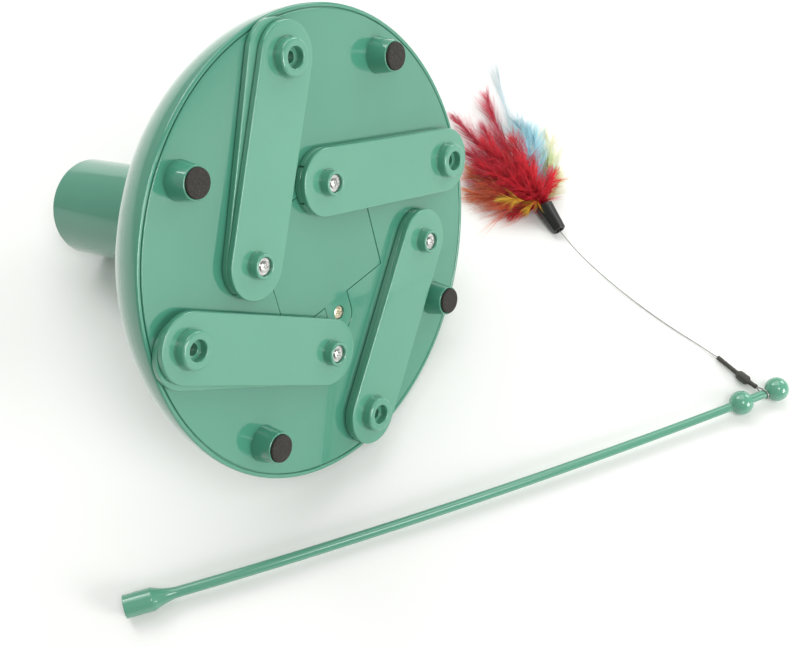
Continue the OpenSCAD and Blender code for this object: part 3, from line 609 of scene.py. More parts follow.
SHRINK = Finish("shrink_sleeve", linear(52, 50, 45), linear(70, 68, 60), 0.55, Marks.FOAM, bump=0.12)
NYLON = Finish("gear_nylon", linear(232, 230, 222), linear(216, 214, 204), 0.45)
LEAD = Finish("lead_jacket", linear(170, 34, 32), linear(140, 26, 26), 0.5)
WIRE = Finish("lure_wire_steel", linear(176, 174, 170), linear(150, 148, 144), 0.3,
              Marks.MACHINING, 1.0)
DOWN = Finish("feather_down", linear(190, 40, 55), linear(120, 16, 32), 0.75,
              tint="barb_colour", bump=0.0)

SLOT_FINISH = {
    "teal_gloss": TEAL, "pad_rubber": PAD, "screw_steel": ZINC, "cell_can": CELL, "motor_can": MOTOR,
    "bush_brass": BRASS, "board_laminate": BOARD, "black_plastic": BLACK, "gear_plastic": NYLON,
    "lead_insulation": LEAD, "lure_steel": WIRE,
}


def piece(skin: Skin, name: str, finish: Finish, body: str, replaced: Sequence[str] = (),
          sharp: Optional[float] = 38.0) -> bpy.types.Object:
    """Makes one piece of the object from a skin, dressed and carried by its body.

    Args:
        skin: The gathered skins.
        name: The piece's name.
        finish: Its finish.
        body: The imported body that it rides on.
        replaced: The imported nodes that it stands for.
        sharp: Edges bent by more degrees than this stay sharp; None leaves all edges soft.

    Returns:
        The new object.
    """
    data = skin.mesh(name)
    if sharp is not None:
        data.set_sharp_from_angle(angle=math.radians(sharp))
    made = bpy.data.objects.new(name, data)
    bpy.context.scene.collection.objects.link(made)
    if sharp is not None:
        weigh = made.modifiers.new("even_normals", "WEIGHTED_NORMAL")
        weigh.keep_sharp = True
        weigh.weight = 100
    data.materials.append(finish.material())
    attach(made, body)
    if replaced:
        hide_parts(*replaced)
    LOG.info("%s: %d faces on %s", name, len(data.polygons), body)
    return made


@dataclass
class BaseFrame:
    """Where the base lies: its axis and the leg pivots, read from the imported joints."""

    pivot_depth: float = 1.5
    place: Array = field(init=False)

    def __post_init__(self) -> None:
        """Works out the 4x4 matrix from the upright base to the row, in millimetres."""
        pivots = np.array([joint(f"leg_{k}_swing")["pos_m"] for k in LEGS]) / MM
        up = unit(np.array(joint("rotor_spin")["axis"], float))
        x = unit((pivots[0] + pivots[3]) / 2 - pivots.mean(0))
        self.place = np.eye(4)
        self.place[:3, 0], self.place[:3, 1], self.place[:3, 2] = x, np.cross(up, x), up
        self.place[:3, 3] = pivots.mean(0) + self.pivot_depth * up


@dataclass
class Housing:
    """The dome and tower shell, its power button and the rotor head in the tower's end."""

    base: BaseFrame
    rim_r: float = 107.5
    inner_r: float = 105.4
    dome_h: float = 59.4
    wall: float = 2.6
    tower_r: float = 24.8
    tower_top: float = 164.0
    blend_r: float = 5.0
    lip: float = 0.8
    recess_r: float = 20.2
    recess_z: float = 158.0
    end_wall_z: float = 154.0
    bush_r: float = 5.0
    button_angle: float = 25.0
    button_arc: float = 40.0
    button_r: float = 7.5
    button_gap: float = 0.35
    button_cut: float = 9.0
    button_section: tuple = ((0, 1.45, 0), (3.5, 1.55, 3), (7.5, 1.8, 0.7), (7.5, -4.4, 0), (8.9, -4.5, 0.1),
                             (8.9, -5.4, 0.1), (0, -5.4, 0))
    head_r: float = 19.6
    head_z: float = 158.6
    head_top: float = 163.4
    head_dish: float = 0.5
    head_lip: tuple = (17.0, 16.6)
    hub_r: float = 2.5
    post_r: float = 4.2
    post_len: float = 14.6
    post_throw: float = 9.0
    post_angle: float = 80.0
    post_root: float = 0.6
    post_flare: float = 1.2
    post_hole: tuple = (2.4, 2.2)
    post_hole_d: float = 2.0
    rim_start: float = 0.03
    rim_inside: float = 2.2
    rim_soft: tuple = (0.75, 1.1)
    tower_rings: tuple = (110.0, 130.0)

    def _profile(self) -> Array:
        """The shell's section: rim, half ellipse, blend, tower, rotor recess and the inside back down.

        Returns:
            The section as (r, z), a closed loop.
        """
        first, last = self.rim_start, math.acos((self.tower_r + self.blend_r) / self.rim_r)
        rim = rounded([(self.inner_r - 0.02, self.rim_inside, 0), (self.inner_r, 0, self.rim_soft[0]),
                       (self.rim_r, 0, self.rim_soft[1]),
                       (self.rim_r * math.cos(first), self.dome_h * math.sin(first), 0)], steps=8)
        a = np.linspace(first, last, 60)[1:]
        dome = np.stack((self.rim_r * np.cos(a), self.dome_h * np.sin(a)), -1)
        a = -np.pi / 2 - np.linspace(0, np.pi / 2, 8)[1:]
        blend_z = dome[-1, 1] + self.blend_r
        blend = np.stack((self.tower_r + self.blend_r + self.blend_r * np.cos(a),
                          blend_z + self.blend_r * np.sin(a)), -1)
        rings = [(self.tower_r, z, 0) for z in (blend_z + 1, *self.tower_rings)]
        tower = rounded([*rings,
                         (self.tower_r, self.tower_top, self.lip), (self.recess_r, self.tower_top, 0.4),
                         (self.recess_r, self.recess_z, 0), (self.bush_r, self.recess_z, 0),
                         (self.bush_r, self.end_wall_z, 0), (self.tower_r - self.wall, self.end_wall_z, 0)])
        inner_h = self.dome_h - self.wall
        a = np.linspace(math.acos((self.tower_r - self.wall) / self.inner_r), self.rim_start, 40)
        inside = np.stack((self.inner_r * np.cos(a), inner_h * np.sin(a)), -1)
        return np.concatenate((rim, dome, blend, tower, inside))

    def button_place(self) -> Array:
        """The button's frame: on the dome, with local z along the dome's normal.

        Returns:
            The frame as a 4x4 matrix.
        """
        arc = math.radians(self.button_arc)
        rise = math.degrees(math.atan2(math.sin(arc) / self.dome_h, math.cos(arc) / self.rim_r))
        spot = shift(self.rim_r * math.cos(arc), 0, self.dome_h * math.sin(arc))
        return self.base.place @ turn(self.button_angle) @ spot @ turn(90 - rise, 1)

    def build_shell(self) -> None:
        """The shell as one turned skin, with the button's hole cut through it."""
        skin = Skin()
        skin.lathe(self._profile(), self.base.place, 288, wrap=True)
        shell = piece(skin, "dome_shell", TEAL, "base", ["dome_housing"])
        tool = Skin()
        hole_r = self.button_r + self.button_gap
        tool.lathe(np.array([(hole_r, -self.button_cut), (hole_r, self.button_cut)]), self.button_place(), 72)
        cutter = bpy.data.objects.new("button_cutter", tool.mesh("button_cutter"))
        bpy.context.scene.collection.objects.link(cutter)
        cut = shell.modifiers.new("button_hole", "BOOLEAN")
        cut.operation, cut.solver, cut.object = "DIFFERENCE", "EXACT", cutter
        shell.modifiers.move(1, 0)
        bpy.context.view_layer.update()
        view = bpy.context.evaluated_depsgraph_get()
        holed = bpy.data.meshes.new_from_object(shell.evaluated_get(view))
        shell.modifiers.clear()
        shell.data = holed
        bpy.data.objects.remove(cutter)

    def build_button(self) -> None:
        """The button: a turned cap with a soft edge and a shallow dish."""
        skin = Skin()
        skin.lathe(rounded(self.button_section), self.button_place(), 72)
        piece(skin, "button_cap", TEAL, "power_button", ["power_button"])

    def build_rotor(self) -> None:
        """The rotor head: a turned disc with a stepped face, and the post for the wand off its axis."""
        skin = Skin()
        floor, lip = self.head_top - self.head_dish, self.head_lip
        skin.lathe(rounded([(self.hub_r + 0.02, self.head_z, 0), (self.head_r, self.head_z, 0.4),
                            (self.head_r, self.head_top, 0.7), (lip[0], self.head_top, 0.3),
                            (lip[1], floor, 0.3), (self.hub_r + 0.1, floor, 0.3),
                            (self.hub_r, floor - 0.4, 0)], True),
                   self.base.place, 128, wrap=True)
        root, top = self.head_top - self.post_root, self.head_top + self.post_len
        spot = self.base.place @ turn(self.post_angle) @ shift(self.post_throw, 0, 0)
        skin.lathe(rounded([(0, root, 0), (self.post_r + self.post_flare, root, 0),
                            (self.post_r, self.head_top + 0.1, 0.5), (self.post_r, top, 0.8),
                            (self.post_hole[0], top, 0.3), (self.post_hole[1], top - self.post_hole_d, 0.3),
                            (0, top - self.post_hole_d, 0)]), spot, 56)
        piece(skin, "rotor_disc", TEAL, "rotor", ["rotor_head"])


@dataclass
class Plate:
    """The base plate with its foot posts and battery bay, its door, pads and leg pivot pins."""

    base: BaseFrame
    plate_r: float = 105.0
    plate_t: float = 3.0
    step_z: float = 0.9
    step_out: float = 0.36
    foot_ring_r: float = 92.2
    foot_h: float = 11.4
    foot_base_r: float = 8.6
    foot_top_r: float = 7.2
    pad_r: float = 6.3
    pad_t: float = 2.6
    pad_seat: float = 1.2
    pivot_ring_r: float = 91.7
    pin_r: float = 3.5
    pin_head_r: float = 6.2
    door_w: float = 69.0
    door_d: float = 56.0
    door_t: float = 2.2
    door_face: float = 0.15
    door_gap: float = 0.3
    tab_w: float = 16.0
    tab_screw: float = 35.3
    tab_reach: float = 9.8
    bay_len: float = 60.0
    bay_w: float = 46.9
    bay_top: float = 17.75
    bay_wall: float = 1.6
    edge_break: float = 0.15
    boss_wall: float = 3.0
    boss_top: float = 8.0
    pin_head: tuple = (-2.86, -2.82, -2.6, -1.7)
    pin_top: float = 6.8
    tab_hole_r: float = 1.6
    tab_sink: tuple = (1.95, 1.7, 1.4)
    screw_seat: float = 1.5

    def door_place(self) -> Array:
        """The door's frame, turned between the feet."""
        return self.base.place @ turn(45)

    def _door_outline(self, grow: float) -> Array:
        """The door's loop: a rectangle and a screw tab with a half round end.

        Args:
            grow: How far the loop lies outside the door.

        Returns:
            The loop, counter-clockwise.
        """
        w, d, half = self.door_w / 2 + grow, self.door_d / 2 + grow, self.tab_w / 2 + grow
        middle = self.tab_screw + self.tab_reach - self.tab_w / 2
        a = np.linspace(0, np.pi, 33)
        end = np.stack((half * np.cos(a), middle + half * np.sin(a)), -1)
        near = rounded([(-half, d, 0), (-w, d, 0.3), (-w, -d, 0.3), (w, -d, 0.3), (w, d, 0.3),
                        (half, d, 0)])
        return np.concatenate((end, near))

    def build_plate(self) -> None:
        """The plate: a disc with the door's opening, four turned posts, and the bay and bosses inside."""
        skin = Skin()
        rim = rounded([(3, 0, 0), (0, 0, 0.5), (0, self.step_z, 0), (-self.step_out, self.step_z, 0),
                       (-self.step_out, self.plate_t, 0.2), (3, self.plate_t, 0)])
        floor_z, sheet = self.door_face + self.door_t + 0.1, self.plate_t
        opening = self._door_outline(self.door_gap)
        broken = np.array([(self.edge_break, 0), (0, self.edge_break), (0, sheet)])
        pins = [(circle(self.pin_r + 0.02, 32, *self._ring(self.pivot_ring_r, 45 + 90 * k)), level(0, sheet))
                for k in range(4)]
        skin.slab(circle(self.plate_r, 240), rim, self.base.place,
                  [(opening @ turn(45)[:2, :2].T, broken)] + pins)
        x, y = self.bay_len / 2, self.bay_w / 2
        bay = rounded([(-x, -y, 0.5), (x, -y, 0.5), (x, y, 0.5), (-x, y, 0.5)], True)
        bay_out = inset(bay, -self.bay_wall)
        place = self.door_place()
        ledge = level(floor_z, sheet - 0.01)
        skin.slab(inset(opening, -1), ledge, place, [(bay, ledge)])
        walls = level(sheet, self.bay_top)
        skin.slab(bay_out, walls, place, [(bay, walls)])
        skin.slab(bay_out, level(self.bay_top, self.bay_top + self.bay_wall), place)
        for k in range(4):
            self._post(skin, self.base.place @ turn(90 * k) @ shift(self.foot_ring_r, 0, 0))
            boss = self.base.place @ turn(45 + 90 * k) @ shift(self.pivot_ring_r, 0, 0)
            r, out = self.pin_r, self.pin_r + self.boss_wall
            skin.lathe(np.array([(r, sheet), (out, sheet), (out, self.boss_top), (r, self.boss_top)]),
                       boss, 48, wrap=True)
        piece(skin, "plate_moulding", TEAL, "base", ["base_plate"])

    @staticmethod
    def _ring(radius: float, degrees: float) -> tuple:
        """A point on a ring about the base axis."""
        a = math.radians(degrees)
        return radius * math.cos(a), radius * math.sin(a)

    def _post(self, skin: Skin, place: Array) -> None:
        """A foot post: a cone with a soft foot and rim, and a seat for its pad.

        Args:
            skin: Where the post goes.
            place: Its foot, as a 4x4 matrix.
        """
        top = -(self.foot_h - self.pad_t + self.pad_seat)
        seat = -(self.foot_h - self.pad_t)
        seat_r = self.pad_r + 0.1
        skin.lathe(rounded([(0, seat, 0), (seat_r, seat, 0.1), (seat_r, top, 0.2),
                            (self.foot_top_r, top, 0.6), (self.foot_base_r, 0.4, 0), (0, 0.4, 0)]), place, 72)

    def build_pads(self) -> None:
        """The foam pads: turned discs with a soft edge and a slight crown."""
        skin = Skin()
        low, high = -self.foot_h, -(self.foot_h - self.pad_t) - 0.05
        for k in range(4):
            place = self.base.place @ turn(90 * k) @ shift(self.foot_ring_r, 0, 0)
            skin.lathe(rounded([(0, low, 0), (self.pad_r - 1.2, low + 0.02, 1),
                                (self.pad_r, low + 0.16, 0.35), (self.pad_r, high, 0), (0, high, 0)]),
                       place, 64)
        piece(skin, "foot_pad_discs", PAD, "base", ["foot_pads"])

    def build_door(self) -> None:
        """The battery door: a slab with a soft outer edge and a countersunk screw hole."""
        skin = Skin()
        low, high = self.door_face, self.door_face + self.door_t
        edge = np.array([(0.22, low), (0.06, low + 0.06), (0, low + 0.22), (0, high)])
        ring = circle(self.tab_hole_r, 40, 0, self.tab_screw)
        mouth, sink, depth = self.tab_sink
        hole = np.array([(mouth, low), (sink, low + 0.2), (sink, low + depth), (0, low + depth), (0, high)])
        skin.slab(self._door_outline(0), edge, self.door_place(), [(ring, hole)])
        piece(skin, "battery_door_cover", TEAL, "base", ["battery_door"])

    def build_pins(self) -> None:
        """The pivot pins of the inner arms, turned with a low crowned head."""
        head = self.pin_head_r
        tip, crown, rim, seat = self.pin_head
        for k in LEGS:
            skin = Skin()
            place = self.base.place @ turn(45 + 90 * (k - 1)) @ shift(self.pivot_ring_r, 0, 0)
            skin.lathe(rounded([(0, tip, 0), (head - 1, crown, 1), (head, rim, 0.3), (head, seat, 0.1),
                                (self.pin_r, seat, 0.1), (self.pin_r, self.pin_top, 0.4),
                                (0, self.pin_top, 0)]), place, 56)
            piece(skin, f"pivot_pin_turned_{k}", ZINC, "base", [f"pivot_pin_{k}"])

    def build_door_screw(self) -> None:
        """The screw in the door's tab, its seat in the countersink."""
        skin = Skin()
        place = self.door_place() @ shift(0, self.tab_screw, self.screw_seat) @ turn(30)
        Screw(3.05, 1.2, 1.3, 5.0).add_to(skin, place)
        piece(skin, "door_screw_turned", YELLOW_ZINC, "base", ["battery_door_screw"])


@dataclass
class Screw:
    """A pan head screw with a cross recess, as a height over a polar grid."""

    head_r: float
    head_h: float
    shank_r: float
    shank_len: float
    washer_r: float = 0.0
    washer_t: float = 0.0
    slot_w: float = 0.5
    sides: int = 72
    bulge: float = 0.82
    recess_r: float = 0.66
    recess_fade: float = 0.12
    recess_d: float = 0.75

    def add_to(self, skin: Skin, place: Array) -> None:
        """Adds the screw: its head faces local -z, its seat is z = 0 and its shank runs up.

        The head's height is a crown over r, less the recess: a cross that narrows with depth.

        Args:
            skin: Where the screw goes.
            place: Its seat, as a 4x4 matrix.
        """
        a = np.arange(self.sides) * TAU / self.sides
        r = np.concatenate((np.linspace(0.02, 0.72, 15), [0.8, 0.88, 0.94, 0.98, 1.0])) * self.head_r
        rr, aa = np.meshgrid(r, a, indexing="ij")
        x, y = rr * np.cos(aa), rr * np.sin(aa)
        crown = self.head_h * np.sqrt(np.clip(1 - (self.bulge * rr / self.head_r) ** 2, 0, 1))
        arm = np.minimum(np.abs(x), np.abs(y)) / (self.slot_w * self.head_r / 2.7)
        reach = np.clip((self.recess_r - rr / self.head_r) / self.recess_fade, 0, 1)
        sink = np.clip(1.6 - arm * 1.6, 0, 1) * reach * (1 - 0.5 * rr / self.head_r)
        z = -crown + self.recess_d * self.head_h * sink
        top = np.stack((x, y, z - self.washer_t), -1)
        washer = [(self.washer_r, -self.washer_t, 0.12), (self.washer_r, 0, 0.05)]
        if not self.washer_t:
            washer = []
        rim = rounded([(self.head_r, -self.washer_t, 0), *washer, (self.shank_r, 0, 0),
                       (self.shank_r, self.shank_len, 0.3), (0.05, self.shank_len, 0)])
        low = np.stack((rim[:, :1] * np.cos(a), rim[:, :1] * np.sin(a), rim[:, 1:] + 0 * a), -1)
        skin.grid(moved(place, np.concatenate((top, low))))


@dataclass
class Legs:
    """Four folding legs: inner arms on the plate's pins, outer arms on the elbows, and their screws."""

    base: BaseFrame
    pivot_ring_r: float = 91.7
    arm_len: float = 88.0
    arm_r: float = 15.5
    arm_t: float = 2.6
    face_gap: float = 0.3
    boss_h: float = 4.7
    foot_boss_r: float = 8.4
    foot_bore_r: float = 4.6
    foot_step_r: float = 2.6
    elbow_boss_r: float = 5.7
    elbow_recess_r: float = 4.1
    post_r: float = 3.4
    post_sink: float = 2.8
    pin_r: float = 3.5
    pin_head_r: float = 6.2
    notch_angle: float = 32.0
    notch_w: float = 1.0
    notch_d: float = 1.2
    inner_soft: float = 0.5
    outer_soft: float = 0.6
    head_gap: float = 0.3
    head_sink: float = 1.4
    boss_lap: float = 0.8
    screw_turn: float = 23.0
    swing: tuple = (19.0, 45.0, 31.5, 30.0)
    elbow: tuple = (0.0, 0.7, 1.7, 3.0)

    def __post_init__(self) -> None:
        """Works out the levels of the arms, down from the plate's underside."""
        self.inner_z = -self.face_gap - self.arm_t
        self.outer_face = self.inner_z - self.face_gap
        self.outer_z = self.outer_face - self.arm_t
        self.boss_z = self.outer_z - self.boss_h
        self.post_z = self.outer_z - self.post_sink

    def pivot_place(self, k: int) -> Array:
        """The frame of inner arm k, with x along the arm."""
        ring = self.base.place @ turn(45 + 90 * (k - 1)) @ shift(self.pivot_ring_r, 0, 0)
        return ring @ turn(180 + self.swing[k - 1])

    def elbow_place(self, k: int) -> Array:
        """The frame of outer arm k, with x from its elbow to its open boss."""
        return self.pivot_place(k) @ shift(self.arm_len, 0, 0) @ turn(180 + self.elbow[k - 1])

    def _arc(self, first: float, last: float, count: int = 17) -> Array:
        """Points on an arm's end circle between two angles in degrees."""
        a = np.radians(np.linspace(first, last, count))
        return self.arm_r * np.stack((np.cos(a), np.sin(a)), -1)

    def _stadium(self, notched: bool) -> Array:
        """An arm's loop: two half circles and straight sides, with two notches at the far end if asked.

        Args:
            notched: Whether the far end has its notches.

        Returns:
            The loop, counter-clockwise.
        """
        far = near = self._arc(-90, 90, 49)
        if notched:
            half = math.degrees(self.notch_w / 2 / self.arm_r)
            low, high = self.notch_angle - half, self.notch_angle + half
            one, two, three = self._arc(-90, -high), self._arc(-low, low), self._arc(high, 90)
            deep = 1 - self.notch_d / self.arm_r
            far = np.concatenate((one, one[-1:] * deep, two[:1] * deep, two, two[-1:] * deep,
                                  three[:1] * deep, three))
        return np.concatenate((far + (self.arm_len, 0), -near))

    def _edge(self, z: float, soft: float) -> Array:
        """An arm's edge as (inset, z): a soft outer side at z and a small break at its back."""
        return rounded([(2, z, 0), (0, z, soft), (0, z + self.arm_t, 0.15), (2, z + self.arm_t, 0)])

    def build_inner(self, k: int) -> None:
        """An inner arm with its pin bore, elbow post and notched end.

        Args:
            k: The leg's number.
        """
        skin, place = Skin(), self.pivot_place(k)
        low, high = self.inner_z, self.inner_z + self.arm_t
        bore_r, floor = self.pin_r + 0.05, low + self.head_sink
        sink = self.pin_head_r + self.head_gap - bore_r
        bore = np.array([(sink + 0.1, low), (sink, low + 0.1), (sink, floor), (0, floor), (0, high)])
        # The edge has no rings on the flats, because they would cross at the notches.
        edge = self._edge(low, self.inner_soft)[1:-1]
        skin.slab(self._stadium(True), edge, place, [(circle(bore_r, 48), bore)])
        skin.lathe(rounded([(0, self.post_z, 0), (self.post_r, self.post_z, 0.2), (self.post_r, low + 0.3, 0),
                            (0, low + 0.3, 0)]), place @ shift(self.arm_len, 0, 0), 48)
        piece(skin, f"inner_arm_moulding_{k}", LEG_TEAL_PAINTED_LIGHTER, f"inner_arm_{k}",
              [f"inner_arm_{k}"])

    def build_outer(self, k: int) -> None:
        """An outer arm with its elbow boss, whose recess holds the screw, and its open foot boss.

        Args:
            k: The leg's number.
        """
        skin, place = Skin(), self.elbow_place(k)
        low, high = self.outer_z, self.outer_face
        holes = [(circle(radius - self.boss_lap, count, x, 0), level(low, high))
                 for radius, count, x in ((self.elbow_boss_r, 48, 0), (self.foot_boss_r, 56, self.arm_len))]
        skin.slab(self._stadium(False), self._edge(low, self.outer_soft), place, holes)
        self._boss(skin, place, self.elbow_boss_r, self.elbow_recess_r, self.post_z + 0.15,
                   self.post_r + 0.05)
        self._boss(skin, place @ shift(self.arm_len, 0, 0), self.foot_boss_r, self.foot_bore_r, low - 1,
                   self.foot_step_r)
        piece(skin, f"outer_arm_moulding_{k}", LEG_TEAL_PAINTED_LIGHTER, f"outer_arm_{k}",
              [f"outer_arm_{k}"])

    def _boss(self, skin: Skin, place: Array, radius: float, bore: float, floor: float, step: float) -> None:
        """Adds a turned boss: soft foot and rim, a bore to its floor and a step hole through the arm.

        Args:
            skin: Where the boss goes.
            place: Its axis, as a 4x4 matrix in the leg's levels.
            radius: Its outer radius.
            bore: The bore's radius.
            floor: The height of the bore's floor.
            step: The radius of the hole from the floor through the arm.
        """
        z, wall, foot = self.outer_z, radius - self.boss_lap, radius + 0.5
        skin.lathe(rounded([(wall, z + 0.3, 0), (foot, z + 0.3, 0), (foot, z, 0), (radius, z, 0.4),
                            (radius - 0.1, self.boss_z, 1.1), (bore, self.boss_z, 0.6), (bore, floor, 0.3),
                            (step, floor, 0.2), (step, self.outer_face, 0.1),
                            (wall, self.outer_face, 0)], True), place, 72, wrap=True)

    def build_screw(self, k: int) -> None:
        """The washer head screw in the elbow post.

        Args:
            k: The leg's number.
        """
        skin = Skin()
        place = self.elbow_place(k) @ shift(0, 0, self.post_z - 0.05) @ turn(self.screw_turn * k)
        Screw(2.5, 1.1, 1.3, 4.8, 3.8, 0.7).add_to(skin, place)
        piece(skin, f"elbow_screw_turned_{k}", ZINC, f"inner_arm_{k}", [f"elbow_screw_{k}"])


@dataclass
class Wand:
    """The moulded wand: a socket, a tapering bowed rod and two balls."""

    length: float = 318.8
    heading: float = 16.2
    bow: float = 5.4
    mouth: tuple = (-94.1, -141.7)
    ball_r: float = 6.15
    ball_gap: float = 20.2
    socket_r: float = 5.65
    bore_r: float = 4.25
    socket_len: float = 14.0
    taper: float = 12.5
    rod_r: tuple = (2.65, 2.1)
    loop_gap: float = 0.7
    shoulder: float = 0.2
    shoulder_drop: float = 0.12
    neck_blend: float = 0.12
    neck_foot: float = 0.45
    neck_swell: float = 0.08
    sides: int = 40

    def __post_init__(self) -> None:
        """Finds the layout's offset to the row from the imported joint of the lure."""
        self.ball_at = (self.length, self.length + self.ball_gap)
        self.loop_at = self.ball_at[1] - self.ball_r - self.loop_gap
        self.offset = np.array(joint("lure_swing")["pos_m"]) / MM - self._arc(np.array([self.loop_at]))[0]

    def _arc(self, s: Array) -> Array:
        """Layout points at lengths s: the heading turns evenly, so the line is a flat circular arc.

        Args:
            s: Lengths from the mouth.

        Returns:
            The points, one a row.
        """
        radius = self.length / math.radians(self.bow)
        first, now = math.radians(self.heading), np.radians(self.heading + self.bow * s / self.length)
        return np.stack((self.mouth[0] + radius * (np.sin(now) - math.sin(first)),
                         self.mouth[1] + radius * (math.cos(first) - np.cos(now)),
                         self.socket_r + (self.ball_r - self.socket_r) * s / self.length), -1)

    def point(self, s: float) -> Array:
        """The wand's middle line at a length from its mouth, in the row."""
        return self._arc(np.array([s]))[0] + self.offset

    def direction(self, s: float) -> Array:
        """The wand's direction at a length from its mouth."""
        a = math.radians(self.heading + self.bow * s / self.length)
        return np.array((math.cos(a), math.sin(a), 0))

    def rod_radius(self, s: Numbers) -> Numbers:
        """The rod's radius, which tapers evenly from the socket to the tip."""
        end = self.socket_len + self.taper
        return self.rod_r[0] + (self.rod_r[1] - self.rod_r[0]) * (s - end) / (self.ball_at[1] - end)

    def build(self) -> None:
        """The wand as one skin: rings of radius r(s) along the arc, with the socket's bore inside."""
        end = self.socket_len + self.taper
        u = np.linspace(0, 1, 20)[1:]
        flare = self.socket_r + (self.rod_r[0] - self.socket_r) * np.sin(u * np.pi / 2) ** 0.85
        mouth, first = self.socket_r, self.socket_len - self.shoulder
        runs = [(np.array([first - 0.4, first]), np.array([mouth, mouth - self.shoulder_drop])),
                (first + (end - first) * u, flare)]
        rod = np.linspace(end + 3, self.ball_at[0] - self.ball_r - 2, 60)
        runs.append((rod, self.rod_radius(rod)))
        for i, at in enumerate(self.ball_at):
            neck = self.rod_radius(at)
            wide = np.array([neck + self.neck_swell])
            enter = math.pi - math.asin(neck / self.ball_r) - self.neck_blend
            leave = 0.0 if i else math.pi - enter
            a = np.linspace(enter, leave, 28)
            foot = self.ball_r * math.cos(enter) - self.neck_foot
            runs.append((np.array([at + foot]), wide))
            runs.append((at + self.ball_r * np.cos(a), self.ball_r * np.sin(a)))
            if not i:
                runs.append((np.array([at - foot]), wide))
        bore = rounded([(self.socket_len, 0.05, 0), (self.socket_len, self.bore_r, 0.3),
                        (0, self.bore_r, 0.25), (0, mouth, 0.3), (first - 0.8, mouth, 0)])
        s = np.concatenate([bore[:, 0]] + [run[0] for run in runs])
        r = np.maximum(np.concatenate([bore[:, 1]] + [run[1] for run in runs]), 0.02)
        line = self._arc(s) + self.offset
        a = np.radians(self.heading + self.bow * s / self.length)
        side = np.stack((np.sin(a), -np.cos(a), 0 * a), -1)[:, None]
        ring = np.arange(self.sides) * TAU / self.sides
        out = np.cos(ring)[:, None] * side + np.sin(ring)[:, None] * np.array((0, 0, 1.0))
        skin = Skin()
        skin.grid(line[:, None] + r[:, None, None] * out)
        piece(skin, "wand_moulding", WAND_TEAL_PAINTED_LIGHTER, "wand", ["wand"], sharp=50)


@dataclass(frozen=True)
class Plume:
    """One feather: a spine with barbs that leave it on both sides and gather into spiky tufts."""

    spine: tuple
    barbs: int
    length: float
    colours: tuple
    spread: float = 0.4
    lean: float = 56.0
    width: float = 0.13
    tuft: int = 8
    full: float = 0.6
    stray: float = 16.0
    quill: float = 0.3


